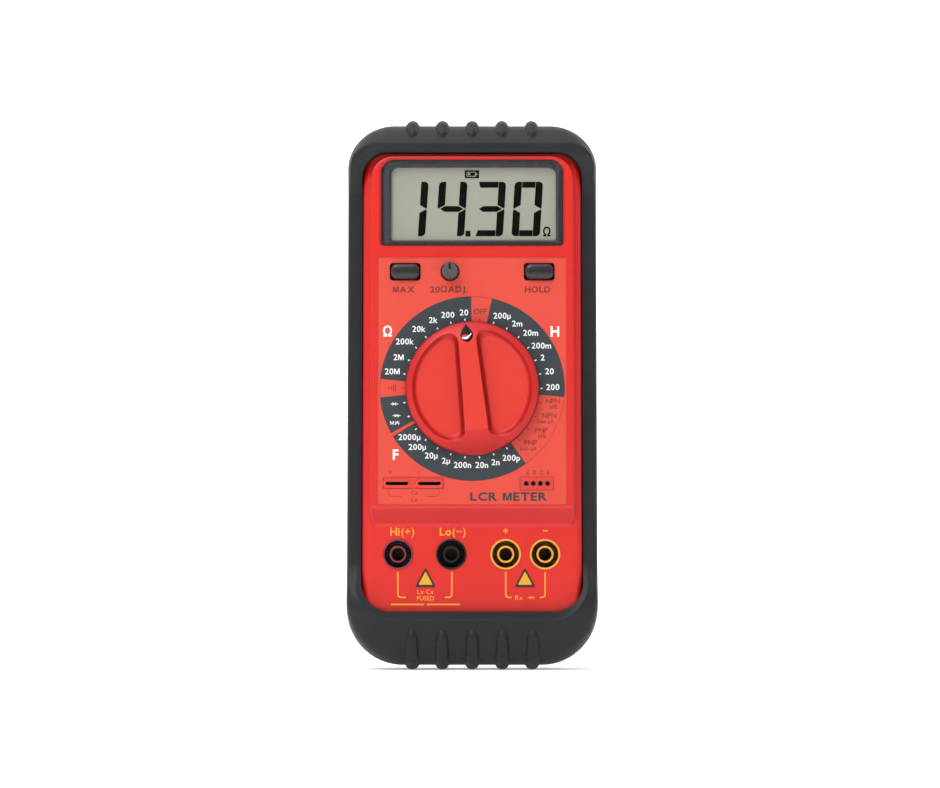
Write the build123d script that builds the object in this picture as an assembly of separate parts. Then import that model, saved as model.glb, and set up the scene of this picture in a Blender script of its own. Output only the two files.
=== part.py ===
from build123d import *
import math
import os

# Handheld LCR meter in a rubber holster, as an assembly of separate pieces.
#
# Every piece is drawn face up: X to the right of the face, Y up the face from its middle, Z out of the
# face, with Z = 0 at the holster's back. stand_up() then stands the finished piece on its lower end, so
# that in the written files +Z runs up the meter, -Y is the front, and the origin is under the middle.
# Lengths are millimetres.

# Case
CASE_WIDTH, CASE_LENGTH, CASE_CORNER = 79.0, 183.0, 13.0
CASE_BACK_Z, PARTING_Z = 3.2, 18.0
WALL = 2.2
JACK_DECK_Z = 31.0  # lower deck, which holds the test jacks, and the shoulder round the raised deck
DECK_Z = 35.0  # raised deck, which holds the display and the dial
DECK_HALF_WIDTH, DECK_TOP_Y = 36.6, 85.2
DECK_EDGE_Y, DECK_FOOT_Y = -42.0, -48.0  # top and foot of the slope between the two decks
STEP_ROUNDING = 3.0
DECK_UNDER_Z = DECK_Z - WALL
JACK_DECK_UNDER_Z = JACK_DECK_Z - WALL
BACK_FLOOR_Z = CASE_BACK_Z + WALL

# Holster
HOLSTER_WIDTH, HOLSTER_LOW_Y, HOLSTER_TOP_Y = 90.2, -98.3, 97.9
HOLSTER_BACK = 3.0
HOLSTER_TURN_Z = 24.0  # where the end walls start to slope inwards
RAIL_Z, TOP_LIP_Z, LOW_LIP_Z = 28.0, 36.0, 34.6
# The slopes' outline at each height: z, half width, lower end, upper end, lower and upper corner radii
HOLSTER_RINGS = (
    (HOLSTER_TURN_Z, 45.1, HOLSTER_LOW_Y, HOLSTER_TOP_Y, 20.0, 17.0),
    (29.5, 44.6, -96.3, 96.1, 19.0, 16.0),
    (33.0, 43.4, -91.3, 93.6, 17.0, 14.5),
    (TOP_LIP_Z, 42.0, -76.6, 89.4, 12.0, 12.0),
)
LIP_TOP_Y, LIP_LOW_Y, LIP_CORNER = 86.2, -79.0, 10.5
POCKET_GAP = 0.2
BEAD_RADIUS, BEAD_PITCH, BEAD_COUNT = 2.1, 10.8, 5
CREST_LOW_Y, CREST_TOP_Y = -99.9, 99.7  # the flattened crests of the beads

# Tilt stand, in a window of the holster's back
WINDOW_HALF_WIDTH, WINDOW_LOW_Y, WINDOW_TOP_Y = 26.0, -54.0, 46.5
HINGE_Y, HINGE_Z, HINGE_PIN_RADIUS, BARREL_RADIUS = 44.2, 1.5, 0.9, 1.4

# Display
GLASS_HALF_WIDTH, GLASS_LOW_Y, GLASS_TOP_Y = 32.6, 52.6, 83.4
VIEW_LEFT, VIEW_RIGHT, VIEW_LOW_Y, VIEW_TOP_Y = -29.3, 30.3, 54.6, 81.3
LCD_HALF_WIDTH, LCD_LOW_Y, LCD_TOP_Y = 31.0, 52.8, 82.6

# Face plate
PLATE_HALF_WIDTH, PLATE_LOW_Y, PLATE_TOP_Y, PLATE_THICK = 34.1, -41.3, 48.2, 0.3

# Rotary switch
DIAL_Y, DIAL_RADIUS, DIAL_TOP_Z, DIAL_FOOT_Z = 0.7, 24.0, 42.0, 35.3
DIAL_FLAT_RADIUS, DIAL_RIM_Z = 15.5, 38.6
POSITIONS = 30
STEP_DEG = 360 / POSITIONS
DIAL_REST_DEG = STEP_DEG / 2  # half a step left of straight up: the lowest resistance range
HUB_RADIUS, SPIGOT_SIDE, ROTOR_LOW_Z = 6.5, 6.0, 16.0
RECESS_RADIUS, RECESS_LOW_Y, RECESS_FLOOR_Z = 21.4, -19.2, 38.4
BAR_TOP_WIDTH, BAR_LOW_WIDTH = 6.3, 8.4
POINTER_RADIUS, POINTER_AT, POINTER_TIP = 2.1, 18.9, 22.2

# Small controls on the strip between display and dial
CONTROL_Y = 42.8
BUTTON_X, BUTTON_WIDTH, BUTTON_HEIGHT, BUTTON_TOP_Z = 24.1, 10.6, 5.9, 37.2
KNOB_X, KNOB_RADIUS, KNOB_TIP_RADIUS, KNOB_FOOT_Z, KNOB_TOP_Z = -8.0, 3.15, 2.7, 33.4, 39.8

# Test jacks on the lower deck
JACK_Y = -58.6
JACK_X = {"hi": -26.6, "lo": -7.5, "plus": 12.0, "minus": 26.1}
JACK_OUTER, JACK_WALL, JACK_TUBE, JACK_BORE = 5.5, 0.7, 3.05, 2.4
JACK_TOP_Z, JACK_BASE_Z = 31.4, 13.7
PLUG_RADIUS, CONTACT_TOP_Z, CONTACT_LOW_Z, TAIL_RADIUS = 2.0, 27.0, 13.6, 0.9

# Sockets below the dial
SOCKET_Y, SOCKET_LOW_Z = -33.4, 26.0
SLOT_X, SLOT_LENGTH, SLOT_WIDTH = (-26.9, -15.3), 8.1, 1.6
SLOT_BLOCK = (-31.9, -10.3, -35.3, -31.3)
LEAD_X, LEAD_PITCH, LEAD_RADIUS, LEAD_DEPTH, CELL_GAP = 23.1, 2.54, 0.6, 5.0, 0.04
LEAD_BLOCK = (17.1, 29.1, -35.7, -31.0)

# Boards, switches and what is inside
BOARD_THICK, BOARD_TOP_Z = 1.6, 13.6
DISPLAY_BOARD_TOP_Z = 26.1
BOARD_UNDER_Z = BOARD_TOP_Z - BOARD_THICK
SCREW_PLACES = ((-30.0, 30.0), (30.0, 30.0), (-18.0, -49.0), (18.0, -49.0))
SCREW_RADIUS, SCREW_HEAD_RADIUS, SCREW_HEAD_Z = 1.38, 2.8, 6.0
FUSE_AT = (28.5, -20.0, 17.4)
BATTERY = (-24.2, 22.2, 53.2, 79.6, 5.8, 23.2)
DOOR = (-27.5, 27.5, 50.0, 82.6)

LOW = (Align.CENTER, Align.CENTER, Align.MIN)
CORNER = (Align.MIN, Align.MIN, Align.MIN)


def block(x0, x1, y0, y1, z0, z1):
    """A box between two corners."""
    return Pos(x0, y0, z0) * Box(x1 - x0, y1 - y0, z1 - z0, align=CORNER)


def rod(x, y, z0, z1, radius):
    """A cylinder that points out of the face."""
    return Pos(x, y, z0) * Cylinder(radius, z1 - z0, align=LOW)


def pipe(x, y, z0, z1, outer, inner):
    """A tube that points out of the face."""
    return rod(x, y, z0, z1, outer) - rod(x, y, z0, z1, inner)


def panel(x0, x1, y0, y1, low_corner, top_corner):
    """A rectangle whose two lower corners and two upper corners have their own radii."""
    sheet = Pos((x0 + x1) / 2, (y0 + y1) / 2) * Rectangle(x1 - x0, y1 - y0)
    corners = sheet.vertices().sort_by(Axis.Y)
    sheet = fillet(corners[:2], low_corner)
    upper = [v for v in sheet.vertices() if abs(v.Y - y1) < 1e-6]
    return fillet(upper, top_corner)


def slab(x0, x1, y0, y1, z0, z1, low_corner, top_corner=None):
    """A panel with a thickness."""
    top_corner = low_corner if top_corner is None else top_corner
    return extrude(Pos(0, 0, z0) * panel(x0, x1, y0, y1, low_corner, top_corner), amount=z1 - z0)


def side_face(points):
    """A flat face seen from the side, from (y, z) points."""
    return make_face(Polyline([(0, y, z) for y, z in points], close=True))


def across(points, half_width):
    """A side profile of (y, z) points, pulled to both sides."""
    return extrude(side_face(points), amount=half_width, dir=(1, 0, 0), both=True)


def edges_at(shape, z, tolerance=1e-4):
    """The edges that lie flat at one height."""
    return [e for e in shape.edges() if all(abs(v.Z - z) < tolerance for v in (e @ 0, e @ 0.5, e @ 1))]


def case_slab(z0, z1, inset=0.0):
    """The case's outline, drawn in by inset."""
    x, y = CASE_WIDTH / 2 - inset, CASE_LENGTH / 2 - inset
    return slab(-x, x, -y, y, z0, z1, CASE_CORNER - inset)


def deck_solid(inset, drop, low_z, ease=0.0):
    """The raised deck, drawn in by inset and lowered by drop.

    ease rounds the slope at its lower end where it meets the two decks.
    """
    x, top = DECK_HALF_WIDTH - inset, DECK_TOP_Y - inset / 2
    foot, edge = DECK_FOOT_Y + inset, DECK_EDGE_Y + inset
    low = foot - ease
    high, bench = DECK_Z - drop, JACK_DECK_Z - drop
    plan = slab(-x, x, low, top, low_z, high, 3.0 + ease, 8.3 - inset / 2)
    points = [(low, low_z), (low, bench), (foot, bench), (edge, high), (top + 1, high), (top + 1, low_z)]
    if not ease:
        points.remove((low, bench))
    face = side_face(points)
    if ease:
        bends = [v for v in face.vertices() if abs(v.Y - foot) < 1e-6 or abs(v.Y - edge) < 1e-6]
        face = fillet(bends, ease)
    return plan & extrude(face, amount=CASE_WIDTH, dir=(1, 0, 0), both=True)


def front_case():
    base = case_slab(PARTING_Z, JACK_DECK_Z)
    base = fillet(edges_at(base, JACK_DECK_Z), 3.0)
    deck = deck_solid(0.0, 0.0, JACK_DECK_UNDER_Z, STEP_ROUNDING)
    sides = [e for e in edges_at(deck, DECK_Z) if e.center().Y > DECK_EDGE_Y + 2 * STEP_ROUNDING]
    shell = base + fillet(sides, 1.0)
    shell -= case_slab(PARTING_Z - 1, JACK_DECK_UNDER_Z, WALL)
    shell -= deck_solid(WALL, WALL, PARTING_Z)
    # window: a chamfered rim, a seat for the glass, and the view
    rim = 1.0
    x, low, top = GLASS_HALF_WIDTH, GLASS_LOW_Y, GLASS_TOP_Y
    shell -= slab(-x - 0.1, x + 0.1, low - 0.1, top + 0.1, DECK_UNDER_Z - 0.6, DECK_Z + 1, 1.1, 4.1)
    shell -= loft(
        [
            Pos(0, 0, DECK_Z - rim) * panel(-x, x, low, top, 1.1, 4.1),
            Pos(0, 0, DECK_Z + 0.01) * panel(-x - rim, x + rim, low - rim, top + rim, 2.0, 5.0),
        ],
        ruled=True,
    )
    # seat of the face plate, then what passes through the deck
    shell -= slab(
        -PLATE_HALF_WIDTH, PLATE_HALF_WIDTH, PLATE_LOW_Y, PLATE_TOP_Y,
        DECK_Z - PLATE_THICK, DECK_Z + 1, 1.2,
    )
    shell -= face_openings(DECK_UNDER_Z - 1, DECK_Z + 1)
    # a collar round the dial's hub, and the screw bosses
    shell += pipe(0, DIAL_Y, 31.2, DECK_UNDER_Z, HUB_RADIUS + 2, HUB_RADIUS + 0.3)
    for x, y in SCREW_PLACES:
        roof = DECK_UNDER_Z if y > DECK_EDGE_Y else JACK_DECK_UNDER_Z
        shell += pipe(x, y, BOARD_TOP_Z, roof, 3.0, SCREW_RADIUS)
    for x in JACK_X.values():
        shell -= rod(x, JACK_Y, JACK_DECK_UNDER_Z - 1, JACK_DECK_Z + 1, JACK_OUTER)
    return shell


def face_openings(z0, z1):
    """Everything that passes through the deck and its face plate: hub, buttons, knob, sockets."""
    holes = rod(0, DIAL_Y, z0, z1, HUB_RADIUS + 0.3)
    holes += rod(KNOB_X, CONTROL_Y, z0, z1, KNOB_RADIUS + 0.3)
    half_w, half_h = BUTTON_WIDTH / 2 + 0.25, BUTTON_HEIGHT / 2 + 0.25
    for x in (-BUTTON_X, BUTTON_X):
        holes += slab(x - half_w, x + half_w, CONTROL_Y - half_h, CONTROL_Y + half_h, z0, z1, 1.2)
    for x0, x1, y0, y1 in (SLOT_BLOCK, LEAD_BLOCK):
        holes += block(x0, x1, y0, y1, z0, z1)
    return holes


def rear_case():
    shell = case_slab(CASE_BACK_Z, PARTING_Z)
    shell = fillet(edges_at(shell, CASE_BACK_Z), 3.0)
    shell -= case_slab(BACK_FLOOR_Z, PARTING_Z + 1, WALL)
    x0, x1, y0, y1, z0, _ = BATTERY
    shell -= slab(*DOOR, CASE_BACK_Z - 1, BACK_FLOOR_Z - 0.8, 2.0)
    shell -= block(x0 - 0.8, x1 + 3.4, y0 - 0.8, y1 + 0.8, CASE_BACK_Z, z0 + 1)
    shell += block(x0 - 2.4, x1 + 5.0, y0 - 2.4, y1 + 2.4, BACK_FLOOR_Z, 14.0) - block(
        x0 - 0.8, x1 + 3.4, y0 - 0.8, y1 + 0.8, BACK_FLOOR_Z - 1, 15.0
    )
    for x, y in SCREW_PLACES:
        shell += rod(x, y, BACK_FLOOR_Z - 0.5, BOARD_UNDER_Z, 4.2)
        shell -= rod(x, y, CASE_BACK_Z - 1, SCREW_HEAD_Z + 2, SCREW_HEAD_RADIUS + 0.3)
        shell -= rod(x, y, CASE_BACK_Z, BOARD_UNDER_Z + 1, SCREW_RADIUS + 0.3)
    # the battery door's screw boss
    shell += rod(0, DOOR[2] - 3.0, BACK_FLOOR_Z - 0.5, 12.0, 3.0)
    shell -= rod(0, DOOR[2] - 3.0, CASE_BACK_Z - 1, 11.0, 1.2)
    shell -= slab(-5, 5, DOOR[2] - 7.0, DOOR[2] + 1, CASE_BACK_Z - 1, BACK_FLOOR_Z - 0.8, 2.0)
    # a shallow seat for the rating label
    shell -= slab(-20, 20, -30, 0, CASE_BACK_Z - 1, CASE_BACK_Z + 0.15, 1.5)
    return shell


def battery_door():
    gap = 0.15
    x0, x1, y0, y1 = DOOR
    z0, z1 = CASE_BACK_Z, BACK_FLOOR_Z - 0.8
    door = slab(x0 + gap, x1 - gap, y0 + gap, y1 - gap, z0, z1, 2.0 - gap)
    tongue = slab(-5 + gap, 5 - gap, y0 - 7 + gap, y0 + 1, z0, z1, 2.0 - gap)
    door += tongue
    door -= rod(0, y0 - 3.0, z0 - 1, z1 + 1, 1.5)
    door -= rod(0, y0 - 3.0, z0 - 1, z0 + 0.6, 2.6)
    for i in range(5):  # finger ribs, cut as grooves
        y = y1 - 8 - 2 * i
        door -= block(-10, 10, y, y + 0.9, z0 - 1, z0 + 0.4)
    return door


def battery_door_screw():
    y = DOOR[2] - 3.0
    screw = rod(0, y, CASE_BACK_Z + 0.1, CASE_BACK_Z + 0.6, 2.5)
    screw += rod(0, y, CASE_BACK_Z + 0.6, 10.0, 1.18)
    return screw - cross_slot(0, y, CASE_BACK_Z, CASE_BACK_Z + 0.4, 1.6)


def cross_slot(x, y, z0, z1, half):
    """The cross recess of a screw's head."""
    return block(x - half, x + half, y - 0.3, y + 0.3, z0, z1) + block(
        x - 0.3, x + 0.3, y - half, y + half, z0, z1
    )


def case_screws():
    screws = []
    for x, y in SCREW_PLACES:
        head = rod(x, y, SCREW_HEAD_Z, SCREW_HEAD_Z + 2, SCREW_HEAD_RADIUS)
        head = fillet(edges_at(head, SCREW_HEAD_Z), 0.8)
        shank = rod(x, y, SCREW_HEAD_Z + 2, 26.0, SCREW_RADIUS)
        screws.append(head + shank - cross_slot(x, y, SCREW_HEAD_Z - 1, SCREW_HEAD_Z + 0.9, 1.7))
    return Compound(screws)


def holster_outer():
    """The boot's outer form: straight walls, then slopes that run in to the front lips."""
    x = HOLSTER_WIDTH / 2
    walls = slab(-x, x, HOLSTER_LOW_Y, HOLSTER_TOP_Y, 0, HOLSTER_TURN_Z, 20.0, 17.0)
    walls = fillet(edges_at(walls, 0), 2.5)
    rings = []
    for z, half_width, low_y, top_y, low_corner, top_corner in HOLSTER_RINGS:
        rings.append(Pos(0, 0, z) * panel(-half_width, half_width, low_y, top_y, low_corner, top_corner))
    slopes = loft(rings, ruled=True)
    # the side rails and the lower lip are lower than the upper lip
    low_step = [(-120, LOW_LIP_Z), (-78, LOW_LIP_Z), (-67, RAIL_Z)]
    top_step = [(77, RAIL_Z), (86, TOP_LIP_Z), (86, 60), (-120, 60)]
    cut = across(low_step + top_step, HOLSTER_WIDTH)
    return walls + (slopes - cut)


def bead_path(end):
    """One bead's centre line from the back, round an end, up the slope: end is 1 at the top, -1 below."""
    if end > 0:
        return [(HOLSTER_TOP_Y, 3.6), (HOLSTER_TOP_Y, HOLSTER_TURN_Z), (96.1, 29.5), (94.4, 32.0)]
    wall = [(HOLSTER_LOW_Y, 3.6), (HOLSTER_LOW_Y, HOLSTER_TURN_Z)]
    return wall + [(-96.3, 29.5), (-91.3, 33.0), (-87.0, 33.9)]


def bead(x, end):
    """A round bead of rubber with ball ends."""
    points = [Vector(x, y, z) for y, z in bead_path(end)]
    made = None
    for a, b in zip(points, points[1:]):
        run = Plane(origin=a, z_dir=b - a) * Cylinder(BEAD_RADIUS, (b - a).length, align=LOW)
        made = run if made is None else made + run
    for p in points:
        made += Pos(*p) * Sphere(BEAD_RADIUS)
    return made


def holster():
    boot = holster_outer()
    for end in (1, -1):
        for i in range(BEAD_COUNT):
            boot += bead((i - (BEAD_COUNT - 1) / 2) * BEAD_PITCH, end)
    # crests of the beads are flat where the meter stands on them
    boot &= block(-60, 60, CREST_LOW_Y, CREST_TOP_Y, -1, 60)
    boot -= case_slab(HOLSTER_BACK, JACK_DECK_Z + POCKET_GAP, -POCKET_GAP)
    x = CASE_WIDTH / 2 + POCKET_GAP
    boot -= slab(-x, x, LIP_LOW_Y, LIP_TOP_Y, HOLSTER_BACK, 60, LIP_CORNER)
    # window for the tilt stand, with a fingernail scallop below it
    w = WINDOW_HALF_WIDTH
    boot -= slab(-w, w, WINDOW_LOW_Y, WINDOW_TOP_Y, -1, HOLSTER_BACK + 1, 4.0, 1.0)
    boot -= Pos(0, WINDOW_LOW_Y, -6.0) * Sphere(8.5)
    pin = Pos(0, HINGE_Y, HINGE_Z) * Rot(0, 90, 0) * Cylinder(HINGE_PIN_RADIUS, 2 * w + 8)
    return boot - pin


def tilt_stand():
    gap = 0.5
    w = WINDOW_HALF_WIDTH - gap
    low, z0, z1 = WINDOW_LOW_Y + gap, 0.3, 2.8
    plate = slab(-w, w, low, HINGE_Y, z0, z1, 3.5, 0.5)
    # a rim and cross ribs stand on the hidden side of a thinner web
    web = 1.3
    bays = 4
    bay = (HINGE_Y - 7 - (low + 4)) / bays
    for i in range(bays):
        y0 = low + 4 + i * bay
        plate -= slab(-w + 4, w - 4, y0 + 0.8, y0 + bay - 0.8, z0 + web, z1 + 1, 1.5)
    plate -= Pos(0, low, -6.6) * Sphere(8.2)
    barrel = Pos(0, HINGE_Y, HINGE_Z) * Rot(0, 90, 0) * Cylinder(BARREL_RADIUS, 2 * w)
    bore = Pos(0, HINGE_Y, HINGE_Z) * Rot(0, 90, 0) * Cylinder(HINGE_PIN_RADIUS + 0.05, 2 * w + 2)
    # grip lines on the outer face
    for i in range(4):
        plate -= block(-12, 12, low + 8 + 2.4 * i, low + 9 + 2.4 * i, z0 - 1, z0 + 0.35)
    return plate + barrel - bore


def stand_hinge_pin():
    return Pos(0, HINGE_Y, HINGE_Z) * Rot(0, 90, 0) * Cylinder(HINGE_PIN_RADIUS, 2 * WINDOW_HALF_WIDTH + 7.6)


def display_window():
    """The clear cover over the display."""
    x = GLASS_HALF_WIDTH
    glass = slab(-x, x, GLASS_LOW_Y, GLASS_TOP_Y, 33.0, 34.4, 1.0, 4.0)
    return chamfer(edges_at(glass, 34.4), 0.3)


def lcd_bezel():
    """The dark frame under the window, with slopes that lead down to the display."""
    x, low, top = GLASS_HALF_WIDTH, GLASS_LOW_Y, GLASS_TOP_Y
    frame = slab(-x, x, low, top, 30.6, 33.0, 1.0, 4.0)
    view = panel(VIEW_LEFT, VIEW_RIGHT, VIEW_LOW_Y, VIEW_TOP_Y, 0.8, 2.6)
    mouth = panel(VIEW_LEFT - 1, VIEW_RIGHT + 0.8, VIEW_LOW_Y - 0.7, VIEW_TOP_Y + 0.7, 1.2, 3.2)
    frame -= extrude(Pos(0, 0, 30) * view, amount=4)
    return frame - loft([Pos(0, 0, 31.8) * view, Pos(0, 0, 33.01) * mouth], ruled=True)


def lcd_panel():
    """Two sheets of glass: the front one is longer, and its ledges carry the contacts."""
    low, top = LCD_LOW_Y, LCD_TOP_Y
    front = block(-LCD_HALF_WIDTH, LCD_HALF_WIDTH, low, top, 29.2, 30.6)
    return front + block(-LCD_HALF_WIDTH, LCD_HALF_WIDTH, low + 2, top - 2, 27.8, 29.2)


def zebra_strips():
    """Two striped rubber strips that join the display's ledges to its board."""
    places = (LCD_LOW_Y + 0.2, LCD_TOP_Y - 1.6)
    return Compound([block(-30, 30, y, y + 1.4, DISPLAY_BOARD_TOP_Z, 29.2) for y in places])


def face_plate():
    plate = slab(
        -PLATE_HALF_WIDTH + 0.1, PLATE_HALF_WIDTH - 0.1, PLATE_LOW_Y + 0.1, PLATE_TOP_Y - 0.1,
        DECK_Z - PLATE_THICK, DECK_Z, 1.1,
    )
    return plate - face_openings(DECK_Z - 1, DECK_Z + 1)


def polar(radius, degrees, z=0.0):
    """A point at a radius from the dial's axis, at an angle clockwise from straight up."""
    a = math.radians(degrees)
    return Vector(radius * math.sin(a), DIAL_Y + radius * math.cos(a), z)


def dial_body():
    """The knob turned about its axis: a flat top that rolls over to the rim."""
    outline = [
        Line((0, DIAL_FOOT_Z), (DIAL_RADIUS, DIAL_FOOT_Z)),
        Line((DIAL_RADIUS, DIAL_FOOT_Z), (DIAL_RADIUS, DIAL_RIM_Z - 1.2)),
        ThreePointArc(
            (DIAL_RADIUS, DIAL_RIM_Z - 1.2),
            (DIAL_RADIUS - 0.4, DIAL_RIM_Z - 0.3),
            (DIAL_RADIUS - 1.2, DIAL_RIM_Z + 0.3),
        ),
        ThreePointArc((DIAL_RADIUS - 1.2, DIAL_RIM_Z + 0.3), (20.0, 41.0), (DIAL_FLAT_RADIUS, DIAL_TOP_Z)),
        Line((DIAL_FLAT_RADIUS, DIAL_TOP_Z), (0, DIAL_TOP_Z)),
        Line((0, DIAL_TOP_Z), (0, DIAL_FOOT_Z)),
    ]
    profile = Plane.XZ * make_face(outline)
    return Pos(0, DIAL_Y, 0) * revolve(profile, Axis.Z, 360)


def thumb_recess(side):
    """One D-shaped hollow beside the grip bar: side is -1 on the left and 1 on the right."""
    half_top, half_low = BAR_TOP_WIDTH / 2, BAR_LOW_WIDTH / 2
    beyond = 30
    corners = [
        (side * half_top, beyond), (side * half_low, RECESS_LOW_Y),
        (side * beyond, RECESS_LOW_Y), (side * beyond, beyond),
    ]
    hollow = Circle(RECESS_RADIUS) & make_face(Polyline(corners, close=True))
    ends = hollow.vertices().sort_by(Axis.Y)
    hollow = fillet(ends[-1], 4.6)
    hollow = fillet(hollow.vertices().sort_by(Axis.Y)[:2], 2.8)
    floor = Pos(0, DIAL_Y, RECESS_FLOOR_Z) * offset(hollow, -1.7)
    mouth = Pos(0, DIAL_Y, DIAL_TOP_Z + 1.2) * offset(hollow, 0.4)
    return loft([floor, mouth], ruled=True)


def pointer_shape():
    """The drop-shaped mark, its tip outwards."""
    reach = POINTER_TIP - POINTER_AT
    half = math.acos(POINTER_RADIUS / reach)
    tangent = (POINTER_RADIUS * math.sin(half), POINTER_AT + POINTER_RADIUS * math.cos(half))
    tip = Polygon((0, POINTER_TIP), (-tangent[0], tangent[1]), (0, POINTER_AT), tangent, align=None)
    return Pos(0, DIAL_Y, 0) * (Pos(0, POINTER_AT) * Circle(POINTER_RADIUS) + tip)


def turned(shape):
    """Turns a piece of the dial from straight up to the range it rests at."""
    return Pos(0, DIAL_Y, 0) * Rot(0, 0, DIAL_REST_DEG) * Pos(0, -DIAL_Y, 0) * shape


def range_dial():
    knob = dial_body()
    for side in (-1, 1):
        knob -= thumb_recess(side)
    knob -= extrude(Pos(0, 0, DIAL_RIM_Z - 1.5) * pointer_shape(), amount=10)
    hub = rod(0, DIAL_Y, 31.0, DIAL_FOOT_Z, HUB_RADIUS)
    side = SPIGOT_SIDE / 2
    spigot = block(-side, side, DIAL_Y - side, DIAL_Y + side, 24.0, 31.0)
    return turned(knob + hub + spigot - rod(0, DIAL_Y, 23, 34, 1.35))


def dial_pointer():
    """The mark, let into the knob a little below its surface."""
    well = extrude(Pos(0, 0, DIAL_RIM_Z - 1.5) * pointer_shape(), amount=10)
    return turned((Pos(0, 0, -0.25) * dial_body()) & well)


def dial_rotor():
    """The turning contact carrier under the deck."""
    top = rod(0, DIAL_Y, 27.0, 31.0, 20.2)
    barrel = rod(0, DIAL_Y, ROTOR_LOW_Z + 1.5, 27.0, 13.0)
    foot = rod(0, DIAL_Y, ROTOR_LOW_Z, ROTOR_LOW_Z + 2, 19.0)
    rotor = top + barrel + foot
    side = SPIGOT_SIDE / 2 + 0.05
    rotor -= block(-side, side, DIAL_Y - side, DIAL_Y + side, 24.0, 32.0)
    rotor -= rod(0, DIAL_Y, ROTOR_LOW_Z - 1, 23.0, 3.4)
    rotor -= rod(0, DIAL_Y, 22.0, 25.0, 1.6)
    for end in (1, -1):
        pocket = Plane(origin=(0, DIAL_Y + end * 12.0, 29.0), z_dir=(0, end, 0))
        rotor -= pocket * Cylinder(1.35, 10, align=LOW)
    return turned(rotor)


def detent_balls():
    return turned(Compound([Pos(0, DIAL_Y + end * 19.6, 29.0) * Sphere(1.25) for end in (1, -1)]))


def detent_springs():
    """Two coil springs that press the balls outwards."""
    springs = []
    for end in (1, -1):
        wire, length = 0.25, 5.6
        line = Helix(pitch=0.8, height=length, radius=0.95)
        coil = sweep(Plane(origin=line @ 0, z_dir=line % 0) * Circle(wire), path=line, is_frenet=True)
        springs.append(Plane(origin=(0, DIAL_Y + end * 12.4, 29.0), z_dir=(0, end, 0)) * coil)
    return turned(Compound(springs))


def detent_ring():
    """The ring that the balls click round, with one notch for each range."""
    ring = pipe(0, DIAL_Y, 26.8, DECK_UNDER_Z, 24.0, 21.0)
    for i in range(POSITIONS):
        x, y, _ = polar(20.5, (i + 0.5) * STEP_DEG)
        ring -= rod(x, y, 26.0, DECK_UNDER_Z - 1, 1.2)
    return ring


def rotor_wipers():
    """Sprung contacts that sweep the board's tracks."""
    wipers = []
    for degrees, reach in ((45, 16.5), (165, 12.5), (285, 8.5)):
        top, low = ROTOR_LOW_Z, BOARD_TOP_Z + 0.1
        side_view = [
            (reach - 3.0, top), (reach + 2.5, top), (reach + 2.5, top - 0.3), (reach - 2.0, top - 0.3),
            (reach - 3.0, top - 1.3), (reach - 3.6, low), (reach - 4.0, low), (reach - 3.4, top - 1.1),
        ]
        arm = across(side_view, 1.1)
        wipers.append(Pos(0, DIAL_Y, 0) * Rot(0, 0, -degrees) * arm)
    return turned(Compound(wipers))


def dial_screw():
    screw = rod(0, DIAL_Y, 21.2, 23.0, 2.8) + rod(0, DIAL_Y, 23.0, 32.0, 1.33)
    return screw - cross_slot(0, DIAL_Y, 21.0, 21.8, 1.7)


def button(x):
    half_w, half_h = BUTTON_WIDTH / 2, BUTTON_HEIGHT / 2
    cap = slab(x - half_w, x + half_w, CONTROL_Y - half_h, CONTROL_Y + half_h, 32.4, BUTTON_TOP_Z, 1.0)
    cap = fillet(edges_at(cap, BUTTON_TOP_Z), 0.7)
    low, high = CONTROL_Y - half_h - 1, CONTROL_Y + half_h + 1
    cap += slab(x - half_w - 1, x + half_w + 1, low, high, 31.4, 32.5, 1.0)
    return cap + rod(x, CONTROL_Y, 30.9, 31.4, 2.2)


def switch_body(x):
    body = block(x - 3, x + 3, CONTROL_Y - 3, CONTROL_Y + 3, DISPLAY_BOARD_TOP_Z, 29.6)
    return body - rod(x, CONTROL_Y, 27.9, 30, 1.8)


def switch_plunger(x):
    return rod(x, CONTROL_Y, 29.3, 30.9, 1.72)


def adjust_knob():
    height = KNOB_TOP_Z - KNOB_FOOT_Z
    body = Pos(KNOB_X, CONTROL_Y, KNOB_FOOT_Z) * Cone(KNOB_RADIUS, KNOB_TIP_RADIUS, height, align=LOW)
    body = fillet(edges_at(body, KNOB_TOP_Z), 0.5)
    flutes = 16
    for i in range(flutes):
        a = 2 * math.pi * i / flutes
        x, y = KNOB_X + KNOB_RADIUS * math.cos(a), CONTROL_Y + KNOB_RADIUS * math.sin(a)
        body -= rod(x, y, DECK_Z + 0.8, KNOB_TOP_Z + 1, 0.32)
    slot_low, slot_high = KNOB_TOP_Z - 0.6, KNOB_TOP_Z + 1
    body -= block(KNOB_X - 0.35, KNOB_X + 0.35, CONTROL_Y + 0.6, CONTROL_Y + 4, slot_low, slot_high)
    return body - rod(KNOB_X, CONTROL_Y, KNOB_FOOT_Z - 1, 38.6, 1.5)


def adjust_shaft():
    return rod(KNOB_X, CONTROL_Y, 29.0, 38.6, 1.45)


def adjust_pot():
    half = 4.75
    body = block(KNOB_X - half, KNOB_X + half, CONTROL_Y - half, CONTROL_Y + half, DISPLAY_BOARD_TOP_Z, 31.0)
    return body - rod(KNOB_X, CONTROL_Y, 28.8, 32, 1.5)


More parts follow.
